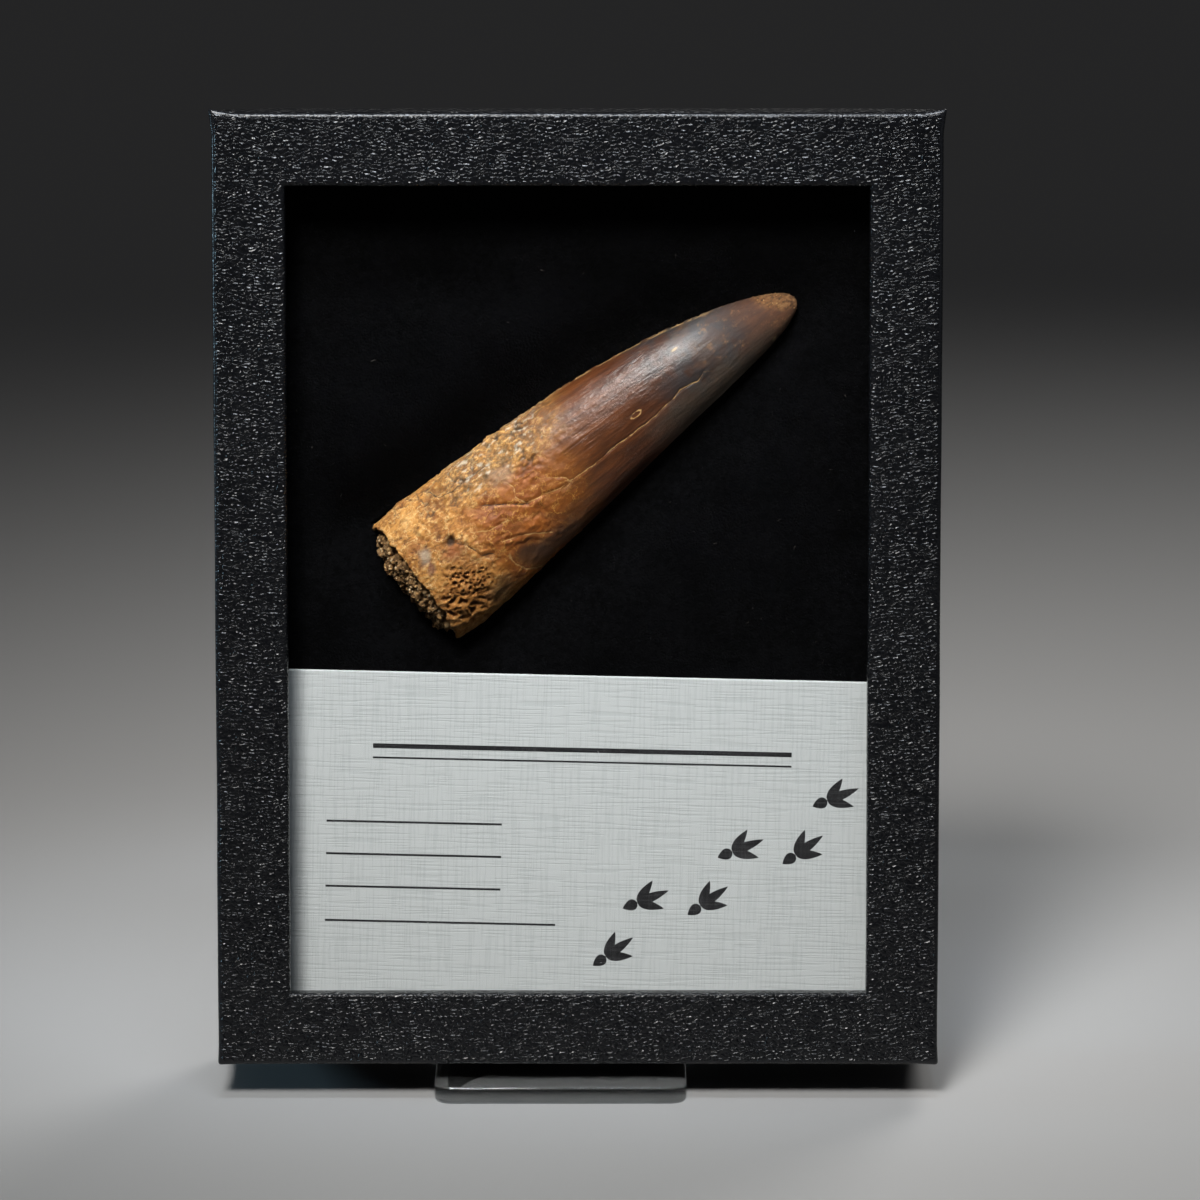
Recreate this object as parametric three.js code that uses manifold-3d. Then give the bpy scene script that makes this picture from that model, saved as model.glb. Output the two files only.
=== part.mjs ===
// Fossil tooth in a glazed specimen case that leans on a clear stand.
// Millimetres, +Z up, the glazed front faces -Y, origin under the middle of the stand's foot.
import * as THREE from "three";
import { mergeVertices } from "three/addons/utils/BufferGeometryUtils.js";
import Module from "manifold-3d";

// Case: a lid with a window, slid over a tray
const caseWidth = 82.5;
const caseHeight = 108.8;
const caseDepth = 19;
const caseLeanDeg = 6;
const caseShift = 2; // the case stands this far right of the stand's middle
const fitGap = 0.3; // clearance between pieces that touch
const lidBoard = 2;
const lidWall = 1.6;
const lidDepth = 17.8;
const lidBevel = 0.5;
const cornerRadius = 0.8;
const borderWidth = 8.25;
const glassThickness = 1.6;
const trayClearance = 0.35;
const trayWall = 1.4;
const trayPanel = 1.2;

// Pad and label behind the glass
const padFront = 6.9; // depth of the pad's face where nothing presses on it
const padReach = 5.5; // how far the dent spreads from the tooth
const padDentBelowAxis = 0.6;
const padCells = [20, 27];
const cardWidth = 72;
const cardHeight = 39;
const cardThickness = 0.5;
const cardTopEdge = 44.2; // height of the middle of its top edge
const cardTiltDeg = 1.3;
const cardCorner = 0.4;

// Tooth: u runs along it from the broken end to the tip, v across it, w towards the glass
const toothLength = 54.5;
const toothHalfWidth = 8.6;
const toothDepthRatio = 0.69;
const toothTaper = 1.3; // higher keeps the tooth wide for longer
const toothBow = 1.3;
const toothBowPeak = 1.35; // moves the bow towards the tip
const toothOffset = 0.5;
const toothSlopeDeg = 37.1;
const toothBaseX = -18.45;
const toothBaseZ = 54.1;
const toothBaseDepth = 10.3;
const toothTipDepth = 8;
const toothRings = 56;
const toothSides = 40;
const enamelStart = 21;
const enamelWave = 1.6;
const enamelWaveLength = 4;
const enamelStep = 0.16;
const rootLump = 0.22;
const rootLumpSize = 2.4;
const breakSlope = 1.3; // the broken end reaches further at the back
const breakJag = 0.55;
const breakFade = 5; // the break bends the rings over this length
const rimRounding = 0.06; // share of the radius worn off at the broken rim
const plugBulge = 1.1;
const plugRings = [0.3, 0.6, 0.8, 0.93]; // shares of the rim's radius
const plugLump = 0.5;
const jagSize = 1.7;
const plugGrain = 1.3;
const jagLayer = 3; // slices of the same random field
const plugLayer = 9;
const troughGrow = 0.6;
const endSharpness = 8; // keeps the trough's extra reach at the broken end
const troughRings = 22;
const troughSides = 22;
const pits = [
  { u: 4.4, v: -3.6, radius: 2.6, depth: 0.75 },
  { u: 13.2, v: -4.8, radius: 2.2, depth: 0.4 },
  { u: 8, v: 7.4, radius: 1.5, depth: 0.35 },
  { u: 17, v: 6.6, radius: 1.6, depth: 0.3 },
];

// Stand: one clear moulding, a foot and an upright
const standThickness = 2;
const footWidth = 29;
const footDepth = 42;
const footCorner = 2;
const footOverhang = 1.6; // the foot shows this much in front of the case
const uprightWidth = 15.6;
const uprightHeight = 58;
const uprightFillet = 3;
const uprightCorner = 3;

// Facets
const cornerSegments = 3;
const filletSegments = 5;
const bevelSegments = 2;

const degree = Math.PI / 180;
const wasm = await Module();
wasm.setup();

// Solids for cutting and joining
function toSolid(geometry) {
  const bare = geometry.clone();
  bare.deleteAttribute("normal");
  bare.deleteAttribute("uv");
  const merged = mergeVertices(bare, 1e-4);
  return new wasm.Manifold(
    new wasm.Mesh({
      numProp: 3,
      vertProperties: new Float32Array(merged.attributes.position.array),
      triVerts: new Uint32Array(merged.index.array),
    }),
  );
}

function toGeometry(solid) {
  const mesh = solid.getMesh();
  const geometry = new THREE.BufferGeometry();
  geometry.setAttribute("position", new THREE.BufferAttribute(mesh.vertProperties, 3));
  geometry.setIndex(new THREE.BufferAttribute(mesh.triVerts, 1));
  geometry.computeVertexNormals();
  return geometry;
}

function piece(name, geometry, color, roughness, extra = {}) {
  const material = new THREE.MeshStandardMaterial({ color, roughness, metalness: 0, ...extra });
  const mesh = new THREE.Mesh(geometry, material);
  mesh.name = name;
  return mesh;
}

// Outline of a rectangle with round corners, from its lower left corner
function roundedRectangle(left, bottom, width, height, radius, Kind = THREE.Shape) {
  const right = left + width;
  const top = bottom + height;
  const outline = new Kind();
  outline.moveTo(left + radius, bottom);
  outline.lineTo(right - radius, bottom);
  outline.absarc(right - radius, bottom + radius, radius, -Math.PI / 2, 0);
  outline.lineTo(right, top - radius);
  outline.absarc(right - radius, top - radius, radius, 0, Math.PI / 2);
  outline.lineTo(left + radius, top);
  outline.absarc(left + radius, top - radius, radius, Math.PI / 2, Math.PI);
  outline.lineTo(left, bottom + radius);
  outline.absarc(left + radius, bottom + radius, radius, Math.PI, 1.5 * Math.PI);
  return outline;
}

// Extrudes an outline drawn in X and Z from the depth front to the depth back
function plate(outline, front, back, bevel = 0) {
  const geometry = new THREE.ExtrudeGeometry(outline, {
    depth: back - front - 2 * bevel,
    bevelEnabled: bevel > 0,
    bevelSize: bevel,
    bevelThickness: bevel,
    bevelOffset: -bevel,
    bevelSegments,
    curveSegments: cornerSegments,
  });
  geometry.rotateX(Math.PI / 2);
  geometry.translate(0, back - bevel, 0);
  return geometry;
}

// A ring-shaped wall between two rectangles that share a middle
function wallRing(inset, wall, front, back, radius) {
  const outer = insetRectangle(inset, radius);
  outer.holes.push(insetRectangle(inset + wall, radius / 2, THREE.Path));
  return plate(outer, front, back);
}

// The case's face, drawn in by the same margin on all sides
function insetRectangle(inset, radius, Kind = THREE.Shape) {
  const width = caseWidth - 2 * inset;
  return roundedRectangle(-width / 2, inset, width, caseHeight - 2 * inset, radius, Kind);
}

function buildLidFrame() {
  const face = insetRectangle(0, cornerRadius);
  face.holes.push(insetRectangle(borderWidth, lidBevel, THREE.Path));
  const board = toSolid(plate(face, 0, lidBoard, lidBevel));
  const walls = toSolid(wallRing(0, lidWall, lidBevel, lidDepth, cornerRadius));
  return piece("lid_frame", toGeometry(board.add(walls)), 0x17181c, 0.55);
}

const trayInset = lidWall + trayClearance;
const glassFront = lidBoard + fitGap;
const glassBack = glassFront + glassThickness;

function buildWindowPane() {
  const outline = insetRectangle(trayInset, cornerRadius);
  const look = { transparent: true, opacity: 0.2 };
  return piece("window_pane", plate(outline, glassFront, glassBack), 0xf4f8fa, 0.05, look);
}

function buildTray() {
  const panelFront = caseDepth - trayPanel;
  const walls = toSolid(wallRing(trayInset, trayWall, glassBack + fitGap, caseDepth, cornerRadius));
  const panel = toSolid(plate(insetRectangle(trayInset, cornerRadius), panelFront, caseDepth));
  return piece("tray", toGeometry(walls.add(panel)), 0x1b1b1e, 0.7);
}

// Smooth random lumps about -1 to 1, the same on every run
function lattice(x, y, z) {
  const value = Math.sin(x * 127.1 + y * 311.7 + z * 74.7) * 43758.5453;
  return 2 * (value - Math.floor(value)) - 1;
}

function lump(x, y, z) {
  const [x0, y0, z0] = [Math.floor(x), Math.floor(y), Math.floor(z)];
  const ease = (t) => t * t * (3 - 2 * t);
  const [a, b, c] = [ease(x - x0), ease(y - y0), ease(z - z0)];
  const along = (j, k) =>
    THREE.MathUtils.lerp(lattice(x0, y0 + j, z0 + k), lattice(x0 + 1, y0 + j, z0 + k), a);
  const across = (k) => THREE.MathUtils.lerp(along(0, k), along(1, k), b);
  return THREE.MathUtils.lerp(across(0), across(1), c);
}

function toothRadius(s) {
  return toothHalfWidth * Math.sqrt(Math.max(0, 1 - s ** toothTaper));
}

function toothMiddle(s) {
  return toothOffset + toothBow * Math.sin(Math.PI * Math.max(0, s) ** toothBowPeak);
}

function toothDepth(s) {
  return THREE.MathUtils.lerp(toothBaseDepth, toothTipDepth, s);
}

// How far the weathered surface stands out from the smooth tooth
function toothRelief(u, v, w) {
  const size = rootLumpSize;
  const wave = enamelWaveLength;
  const enamelEdge = enamelStart + enamelWave * lump(u / wave, v / wave, w / wave);
  const enamel = THREE.MathUtils.smoothstep(u, enamelEdge - 1, enamelEdge + 1);
  let out = enamelStep * enamel;
  out += rootLump * (1 - 0.8 * enamel) * lump(u / size, v / size, w / size);
  if (w > 0) {
    for (const pit of pits) {
      const distance = Math.hypot(u - pit.u, v - pit.v) / pit.radius;
      out -= pit.depth * Math.exp(-(distance ** 4));
    }
  }
  return out;
}

// One at the broken end, falling to none along the tooth
function endShare(along) {
  return Math.max(0, 1 - Math.max(0, along) / breakFade) ** 2;
}

// Turned profile of the tooth, from the middle of the broken end to the tip
function toothProfile(rings, grow) {
  const rim = toothRadius(0) + grow;
  const endGrow = grow > 0 ? grow + breakJag + plugLump : 0;
  const profile = [new THREE.Vector2(0, -plugBulge - endGrow)];
  for (const share of plugRings) {
    profile.push(new THREE.Vector2(rim * share, -plugBulge * (1 - share ** 3) - endGrow));
  }
  for (let i = 0; i < rings; i += 1) {
    const s = Math.sin((i / rings) * (Math.PI / 2));
    const along = toothLength * s - endGrow * (1 - s) ** endSharpness;
    const worn = 1 - rimRounding * endShare(along);
    profile.push(new THREE.Vector2(toothRadius(s) * worn + grow, along));
  }
  profile.push(new THREE.Vector2(0, toothLength + grow));
  return profile;
}

// The tooth in its own axes: X along it, Z across it, -Y towards the glass
function toothGeometry(rings, sides, grow = 0, weathered = true) {
  const geometry = new THREE.LatheGeometry(toothProfile(rings, grow), sides);
  const place = geometry.attributes.position;
  for (let i = 0; i < place.count; i += 1) {
    const across = -place.getX(i);
    const along = place.getY(i);
    const towards = place.getZ(i);
    const radius = Math.hypot(across, towards);
    const s = THREE.MathUtils.clamp(along / toothLength, 0, 1);
    const v = across + toothMiddle(s);
    const w = towards * toothDepthRatio;
    const end = endShare(along);
    let scale = 1;
    let u = along + end * breakSlope * (towards / toothHalfWidth);
    if (weathered) {
      const inside = THREE.MathUtils.clamp(1 - radius / toothRadius(0), 0, 1);
      scale = radius > 0 && along >= 0 ? 1 + toothRelief(along, v, w) / radius : 1;
      u += end * breakJag * lump(v / jagSize, w / jagSize, jagLayer);
      u += end * plugLump * Math.min(1, 4 * inside) * lump(v / plugGrain, w / plugGrain, plugLayer);
    }
    place.setXYZ(i, u, -w * scale + toothDepth(s), across * scale + toothMiddle(s));
  }
  return geometry;
}

const toothPlace = new THREE.Group();
toothPlace.position.set(toothBaseX, 0, toothBaseZ);
toothPlace.rotation.y = -toothSlopeDeg * degree;
toothPlace.updateMatrix();

function buildTooth() {
  const solid = toSolid(toothGeometry(toothRings, toothSides));
  return piece("tooth", toGeometry(solid), 0x8a5a2c, 0.6);
}

// The pad sinks around the tooth, to just below the tooth's widest line
function padDepth(x, z) {
  const along = toothSlopeDeg * degree;
  const [dx, dz] = [x - toothBaseX, z - toothBaseZ];
  const u = dx * Math.cos(along) + dz * Math.sin(along);
  const v = -dx * Math.sin(along) + dz * Math.cos(along);
  const s = THREE.MathUtils.clamp(u / toothLength, 0, 1);
  const beyond = Math.max(0, -u, u - toothLength);
  const beside = Math.max(0, Math.abs(v - toothMiddle(s)) - toothRadius(s));
  const press = Math.exp(-((Math.hypot(beyond, beside) / padReach) ** 2));
  return padFront + press * (toothDepth(s) + padDentBelowAxis - padFront);
}

function buildBackingPad() {
  const inset = trayInset + trayWall + trayClearance;
  const width = caseWidth - 2 * inset;
  const height = caseHeight - 2 * inset;
  const back = caseDepth - trayPanel - fitGap;
  const block = new THREE.BoxGeometry(width, 1, height, padCells[0], 1, padCells[1]);
  block.translate(0, 0.5, caseHeight / 2);
  const place = block.attributes.position;
  for (let i = 0; i < place.count; i += 1) {
    const front = place.getY(i) < 0.5;
    place.setY(i, front ? padDepth(place.getX(i), place.getZ(i)) : back);
  }
  const trough = toothGeometry(troughRings, troughSides, troughGrow, false);
  trough.applyMatrix4(toothPlace.matrix);
  return piece("backing_pad", toGeometry(toSolid(block).subtract(toSolid(trough))), 0x0b0b0d, 0.95);
}

function buildLabelCard() {
  const outline = roundedRectangle(-cardWidth / 2, -cardHeight, cardWidth, cardHeight, cardCorner);
  const front = padFront - fitGap - cardThickness;
  const card = piece("label_card", plate(outline, front, front + cardThickness), 0xcbd0cf, 0.8);
  card.position.z = cardTopEdge;
  card.rotation.y = cardTiltDeg * degree;
  return card;
}

// Where the case stands on the foot
const lean = caseLeanDeg * degree;
const caseFrontY = -footDepth / 2 + footOverhang;
const caseFrontZ = standThickness + fitGap + caseDepth * Math.sin(lean);

// Depth of the case's back at a height above the table
function caseBackAt(height) {
  const up = (height - caseFrontZ + caseDepth * Math.sin(lean)) / Math.cos(lean);
  return caseFrontY + caseDepth * Math.cos(lean) + up * Math.sin(lean);
}

function buildStand() {
  const footOutline = roundedRectangle(-footWidth / 2, -footDepth / 2, footWidth, footDepth, footCorner);
  const footGeometry = new THREE.ExtrudeGeometry(footOutline, {
    depth: standThickness,
    bevelEnabled: false,
    curveSegments: filletSegments,
  });
  const front = caseBackAt(uprightHeight) + fitGap / Math.cos(lean);
  const back = front + standThickness;
  const bend = standThickness + uprightFillet;
  const profile = new THREE.Shape();
  profile.moveTo(front - uprightFillet, standThickness / 2);
  profile.lineTo(back + uprightFillet, standThickness / 2);
  profile.lineTo(back + uprightFillet, standThickness);
  profile.absarc(back + uprightFillet, bend, uprightFillet, 1.5 * Math.PI, Math.PI, true);
  profile.lineTo(back, uprightHeight);
  profile.lineTo(front, uprightHeight);
  profile.lineTo(front, bend);
  profile.absarc(front - uprightFillet, bend, uprightFillet, 0, -Math.PI / 2, true);
  const uprightGeometry = new THREE.ExtrudeGeometry(profile, {
    depth: uprightWidth,
    bevelEnabled: false,
    curveSegments: filletSegments,
  });
  uprightGeometry.applyMatrix4(
    new THREE.Matrix4().makeBasis(
      new THREE.Vector3(0, 1, 0),
      new THREE.Vector3(0, 0, 1),
      new THREE.Vector3(1, 0, 0),
    ),
  );
  uprightGeometry.translate(-uprightWidth / 2, 0, 0);
  const face = roundedRectangle(-uprightWidth / 2, -uprightCorner, uprightWidth,
    uprightHeight + uprightCorner, uprightCorner);
  const roundTop = toSolid(plate(face, -footDepth, footDepth));
  const upright = toSolid(uprightGeometry).intersect(roundTop);
  const look = { transparent: true, opacity: 0.35 };
  return piece("acrylic_stand", toGeometry(toSolid(footGeometry).add(upright)), 0xe6ecf2, 0.08, look);
}

// Assembly
const displayCase = new THREE.Group();
displayCase.position.set(caseShift, caseFrontY, caseFrontZ);
displayCase.rotation.x = -lean;
toothPlace.add(buildTooth());
displayCase.add(
  buildLidFrame(), buildWindowPane(), buildTray(), buildBackingPad(), buildLabelCard(), toothPlace,
);

const fossilDisplay = new THREE.Group();
fossilDisplay.add(displayCase, buildStand());

export default fossilDisplay;
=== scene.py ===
import math

import bmesh
import bpy
from mathutils import Matrix, Vector, noise
from mathutils.geometry import delaunay_2d_cdt


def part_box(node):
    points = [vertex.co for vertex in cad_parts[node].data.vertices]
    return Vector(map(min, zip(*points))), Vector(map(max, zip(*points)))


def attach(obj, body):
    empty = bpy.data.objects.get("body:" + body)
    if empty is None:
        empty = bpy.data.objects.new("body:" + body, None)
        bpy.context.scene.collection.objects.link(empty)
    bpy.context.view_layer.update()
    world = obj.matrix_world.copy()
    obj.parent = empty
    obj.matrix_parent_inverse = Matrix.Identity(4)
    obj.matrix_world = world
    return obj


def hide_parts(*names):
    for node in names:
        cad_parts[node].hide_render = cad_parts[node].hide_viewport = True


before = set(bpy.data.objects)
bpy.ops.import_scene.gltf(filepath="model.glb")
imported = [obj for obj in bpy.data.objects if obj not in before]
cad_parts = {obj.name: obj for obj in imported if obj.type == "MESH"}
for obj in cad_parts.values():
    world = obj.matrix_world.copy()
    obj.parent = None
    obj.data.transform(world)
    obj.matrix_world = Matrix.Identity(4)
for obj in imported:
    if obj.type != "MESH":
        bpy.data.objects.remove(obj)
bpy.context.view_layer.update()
scene = bpy.context.scene
print("frame loaded:", sorted(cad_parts))

# Pieces are drawn in millimetres in the case's own axes: x right, y into the case, z up from its foot
caseSpec = {
    "width": 82.5,
    "height": 108.8,
    "depth": 19.0,
    "lean": math.radians(6),
    "trayInset": 1.95,
}


def findCase(spec):  # the case's axes in the frame, taken from the solids
    lidLow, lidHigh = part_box("lid_frame")
    trayLow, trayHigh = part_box("tray")
    mm = 0.001
    s, c = math.sin(spec["lean"]), math.cos(spec["lean"])
    backTop = spec["depth"] * c + (spec["height"] - spec["trayInset"]) * s
    footDrop = spec["depth"] * s - spec["trayInset"] * c
    place = Vector(((lidLow.x + lidHigh.x) / 2, trayHigh.y - backTop * mm, trayLow.z + footDrop * mm))
    return Matrix.Translation(place) @ Matrix.Rotation(-spec["lean"], 4, "X") @ Matrix.Scale(mm, 4)


caseToFrame = findCase(caseSpec)


def makeObject(name, data, *materials):
    piece = bpy.data.objects.new(name, data)
    scene.collection.objects.link(piece)
    for material in materials:
        data.materials.append(material)
    return piece


# Camera, solved from the corners of the case
cameraSpec = {
    "eye": (2.53, -606.7, 123.7),
    "pitch": math.radians(6.586),  # looks down by this from square on to the glass
    "focalPixels": 5375,
    "imagePixels": 1200,
    "sensor": 36.0,
}


def makeCamera(spec):
    data = bpy.data.cameras.new("camera")
    camera = makeObject("camera", data)
    data.sensor_width = spec["sensor"]
    data.lens = spec["sensor"] * spec["focalPixels"] / spec["imagePixels"]
    data.clip_start, data.clip_end = 0.01, 50
    turn = caseToFrame.to_3x3().normalized()
    forward = turn @ Vector((0, math.cos(spec["pitch"]), -math.sin(spec["pitch"])))
    up = turn @ Vector((0, math.sin(spec["pitch"]), math.cos(spec["pitch"])))
    axes = Matrix((forward.cross(up), up, -forward)).transposed().to_4x4()
    camera.matrix_world = Matrix.Translation(caseToFrame @ Vector(spec["eye"])) @ axes
    scene.camera = camera


makeCamera(cameraSpec)


# Node helpers, for materials and for geometry alike
class NodeDesk:
    def __init__(self, tree):
        self.tree = tree

    def wire(self, socket, value):
        if isinstance(value, bpy.types.NodeSocket):
            self.tree.links.new(value, socket)
        elif value is not None:
            socket.default_value = value

    def add(self, kind, values=(), **settings):
        node = self.tree.nodes.new(kind)
        for name, value in settings.items():
            setattr(node, name, value)
        pairs = values.items() if isinstance(values, dict) else enumerate(values)
        for key, value in pairs:
            self.wire(node.inputs[key], value)
        return node

    def dress(self, node, **values):  # inputs by name, an underscore in a key stands for a space
        for key, value in values.items():
            self.wire(node.inputs[key.replace("_", " ")], value)

    def math(self, operation, *values, clamp=False):
        return self.add("ShaderNodeMath", values, operation=operation, use_clamp=clamp).outputs[0]

    def plus(self, first, *others):
        for other in others:
            first = self.math("ADD", first, other)
        return first

    def times(self, first, *others):
        for other in others:
            first = self.math("MULTIPLY", first, other)
        return first

    def minus(self, a, b):
        return self.math("SUBTRACT", a, b)

    def timesPlus(self, a, b, c):
        return self.math("MULTIPLY_ADD", a, b, c)

    def most(self, a, b):
        return self.math("MAXIMUM", a, b)

    def vector(self, operation, *values):
        return self.add("ShaderNodeVectorMath", values, operation=operation).outputs["Vector"]

    def scaled(self, vector, factor):
        node = self.add("ShaderNodeVectorMath", {0: vector, "Scale": factor}, operation="SCALE")
        return node.outputs["Vector"]

    def step(self, value, low, high, toLow=0.0, toHigh=1.0):  # smooth step between two values
        ends = (value, low, high, toLow, toHigh)
        return self.add("ShaderNodeMapRange", ends, interpolation_type="SMOOTHSTEP").outputs[0]

    def mix(self, factor, a, b):
        return self.add("ShaderNodeMix", {0: factor, 2: a, 3: b}, data_type="FLOAT").outputs[0]

    def tint(self, factor, a, b, kind="MIX"):
        a, b = (x if isinstance(x, bpy.types.NodeSocket) else (*x, 1) for x in (a, b))
        colours = {0: factor, 6: a, 7: b}
        return self.add("ShaderNodeMix", colours, data_type="RGBA", blend_type=kind).outputs[2]

    def xyz(self, x, y, z):
        return self.add("ShaderNodeCombineXYZ", (x, y, z)).outputs[0]

    def split(self, vector):
        return self.add("ShaderNodeSeparateXYZ", (vector,)).outputs

    def noise(self, vector, scale, detail=2.0, roughness=0.5, flat=False):
        values = {"Vector": vector, "Scale": scale, "Detail": detail, "Roughness": roughness}
        return self.add("ShaderNodeTexNoise", values, noise_dimensions="2D" if flat else "3D").outputs[0]

    def swing(self, vector, scale, detail=2.0, roughness=0.5):  # noise about -1 to 1
        return self.timesPlus(self.noise(vector, scale, detail, roughness), 2.0, -1.0)

    def cells(self, vector, scale, feature="F1", output="Distance", flat=False):
        kind = {"feature": feature, "voronoi_dimensions": "2D" if flat else "3D"}
        return self.add("ShaderNodeTexVoronoi", {"Vector": vector, "Scale": scale}, **kind).outputs[output]

    def ramp(self, value, *stops):
        node = self.add("ShaderNodeValToRGB", (value,))
        marks = node.color_ramp.elements
        marks[0].position, marks[1].position = stops[0][0], stops[-1][0]
        for place, _ in stops[1:-1]:
            marks.new(place)
        for mark, (_, colour) in zip(marks, stops):
            mark.color = (*colour, 1)
        return node.outputs[0]

    def bump(self, shader, height, depth, strength):  # depth in metres
        node = self.add("ShaderNodeBump", {"Strength": strength, "Distance": depth, "Height": height})
        self.dress(shader, Normal=node.outputs[0])

    def stored(self, name, output="Fac"):  # attribute of the mesh, in a material
        return self.add("ShaderNodeAttribute", attribute_name=name).outputs[output]


def startMaterial(name):
    material = bpy.data.materials.new(name)
    material.use_nodes = True
    desk = NodeDesk(material.node_tree)
    shader = material.node_tree.nodes["Principled BSDF"]
    return material, desk, shader


def objectMm(desk):  # Object coordinates in millimetres
    return desk.scaled(desk.add("ShaderNodeTexCoord").outputs["Object"], 1000.0)


def sheetMm(desk, name):  # UV coordinates, which are in centimetres, in millimetres
    return desk.scaled(desk.add("ShaderNodeUVMap", uv_map=name).outputs[0], 10.0)


def startGroup(name, inputs, outputs):  # shader group with named sockets
    tree = bpy.data.node_groups.new(name, "ShaderNodeTree")
    for socketName, value in inputs.items():
        kind = "NodeSocketVector" if value is None else "NodeSocketFloat"
        socket = tree.interface.new_socket(socketName, in_out="INPUT", socket_type=kind)
        if value is not None:
            socket.default_value = value
    for socketName in outputs:
        tree.interface.new_socket(socketName, in_out="OUTPUT", socket_type="NodeSocketFloat")
    desk = NodeDesk(tree)
    return tree, desk, desk.add("NodeGroupInput").outputs, desk.add("NodeGroupOutput")


def useGroup(desk, tree, **values):
    node = desk.add("ShaderNodeGroup", node_tree=tree)
    desk.dress(node, **values)
    return node.outputs


class TreeDesk(NodeDesk):  # one Geometry Nodes tree with named inputs
    def __init__(self, name, inputs):
        super().__init__(bpy.data.node_groups.new(name, "GeometryNodeTree"))
        kinds = {float: "NodeSocketFloat", int: "NodeSocketInt", str: None}
        face = self.tree.interface
        for socketName, value in inputs.items():
            socket = face.new_socket(socketName, in_out="INPUT", socket_type=kinds[type(value)] or value)
            if not isinstance(value, str):
                socket.default_value = value
        face.new_socket("Geometry", in_out="OUTPUT", socket_type="NodeSocketGeometry")
        self.given = self.add("NodeGroupInput").outputs

    def store(self, geometry, name, value, kind="FLOAT", domain="POINT"):
        node = self.add("GeometryNodeStoreNamedAttribute", data_type=kind, domain=domain)
        self.dress(node, Geometry=geometry, Name=name)
        self.wire(next(s for s in node.inputs if s.name == "Value" and s.enabled), value)
        return node.outputs[0]

    def read(self, name, kind="FLOAT"):
        node = self.add("GeometryNodeInputNamedAttribute", data_type=kind)
        self.dress(node, Name=name)
        return next(s for s in node.outputs if s.name == "Attribute" and s.enabled)

    def chance(self, kind, low, high, seed=0):  # random number or vector for each point
        first, output = (0, 0) if kind == "FLOAT_VECTOR" else (2, 1)
        values = {first: low, first + 1: high, "Seed": seed}
        return self.add("FunctionNodeRandomValue", values, data_type=kind).outputs[output]

    def plant(self, points, shape, rotation, scale):  # the shape on every point
        parts = {"Points": points, "Instance": shape, "Rotation": rotation, "Scale": scale}
        return self.add("GeometryNodeInstanceOnPoints", parts).outputs[0]

    def finish(self, geometry, material, smooth=True):  # realized and with its material
        geometry = self.add("GeometryNodeRealizeInstances", (geometry,)).outputs[0]
        shaded = self.add("GeometryNodeSetShadeSmooth", {"Geometry": geometry, "Shade Smooth": smooth})
        dressed = self.add("GeometryNodeSetMaterial", {"Geometry": shaded.outputs[0], "Material": material})
        self.add("NodeGroupOutput", (dressed.outputs[0],))

    def grow(self, name, mesh=None, **values):  # runs the tree and keeps its plain mesh
        host = makeObject(name, mesh or bpy.data.meshes.new(name))
        modifier = host.modifiers.new("tree", "NODES")
        modifier.node_group = self.tree
        named = {key.lower(): value for key, value in values.items()}
        for item in self.tree.interface.items_tree:
            key = item.name.replace(" ", "").lower()
            if item.in_out == "INPUT" and key in named:
                modifier[item.identifier] = named[key]
        graph = bpy.context.evaluated_depsgraph_get()
        made = bpy.data.meshes.new_from_object(
            host.evaluated_get(graph), preserve_all_data_layers=True, depsgraph=graph
        )
        host.modifiers.clear()
        host.data = made
        made.name = name
        return host


# Mesh helpers
def finishMesh(work, name, sharp=35):  # bmesh in the case's axes to a mesh in the frame
    bmesh.ops.recalc_face_normals(work, faces=work.faces)
    mesh = bpy.data.meshes.new(name)
    work.to_mesh(mesh)
    work.free()
    mesh.transform(caseToFrame)
    mesh.shade_smooth()
    mesh.set_sharp_from_angle(angle=math.radians(sharp))
    return mesh


def unfoldPaper(work):  # UV of the flat sheet that wraps a case half, in centimetres
    sheet = work.loops.layers.uv.new("sheet")
    bmesh.ops.recalc_face_normals(work, faces=work.faces)
    for face in work.faces:
        n = face.normal
        for corner in face.loops:
            x, y, z = corner.vert.co
            if abs(n.x) > max(abs(n.y), abs(n.z)):
                x += math.copysign(y, n.x)
            elif abs(n.z) > abs(n.y):
                z += math.copysign(y, n.z)
            corner[sheet].uv = (x / 10, z / 10)


def rideRoot(piece, slot, *nodes):
    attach(piece, "root")
    if nodes:
        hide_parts(*nodes)
    print("piece ready:", piece.name, len(piece.data.polygons), "faces")
    return piece


def ringPoints(halfWide, halfTall, radius, wideSteps, tallSteps, cornerSteps):  # round-cornered rectangle
    points = []
    signs = ((1, 1), (-1, 1), (-1, -1), (1, -1))
    for corner, (sx, sz) in enumerate(signs):
        centre = Vector((sx * (halfWide - radius), sz * (halfTall - radius)))
        for i in range(cornerSteps + 1):
            angle = (corner + i / cornerSteps) * math.pi / 2
            points.append(centre + radius * Vector((math.cos(angle), math.sin(angle))))
        steps = tallSteps if corner % 2 else wideSteps
        nx, nz = signs[(corner + 1) % 4]
        nextCentre = Vector((nx * (halfWide - radius), nz * (halfTall - radius)))
        turned = Vector((math.cos((corner + 1) * math.pi / 2), math.sin((corner + 1) * math.pi / 2)))
        start, end = centre + radius * turned, nextCentre + radius * turned
        points += [start.lerp(end, i / steps) for i in range(1, steps)]
    return points


def atDepth(ring, depth):  # a ring about the middle of the case, at a depth in it
    return [Vector((p.x, depth, p.y + caseSpec["height"] / 2)) for p in ring]


def loopPairs(count, first=0):  # neighbours in a closed row
    return [(first + i, first + (i + 1) % count) for i in range(count)]


def bridge(work, low, high):  # faces between two rows
    for i, j in loopPairs(len(low)):
        work.faces.new((low[i], low[j], high[j], high[i]))


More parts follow.
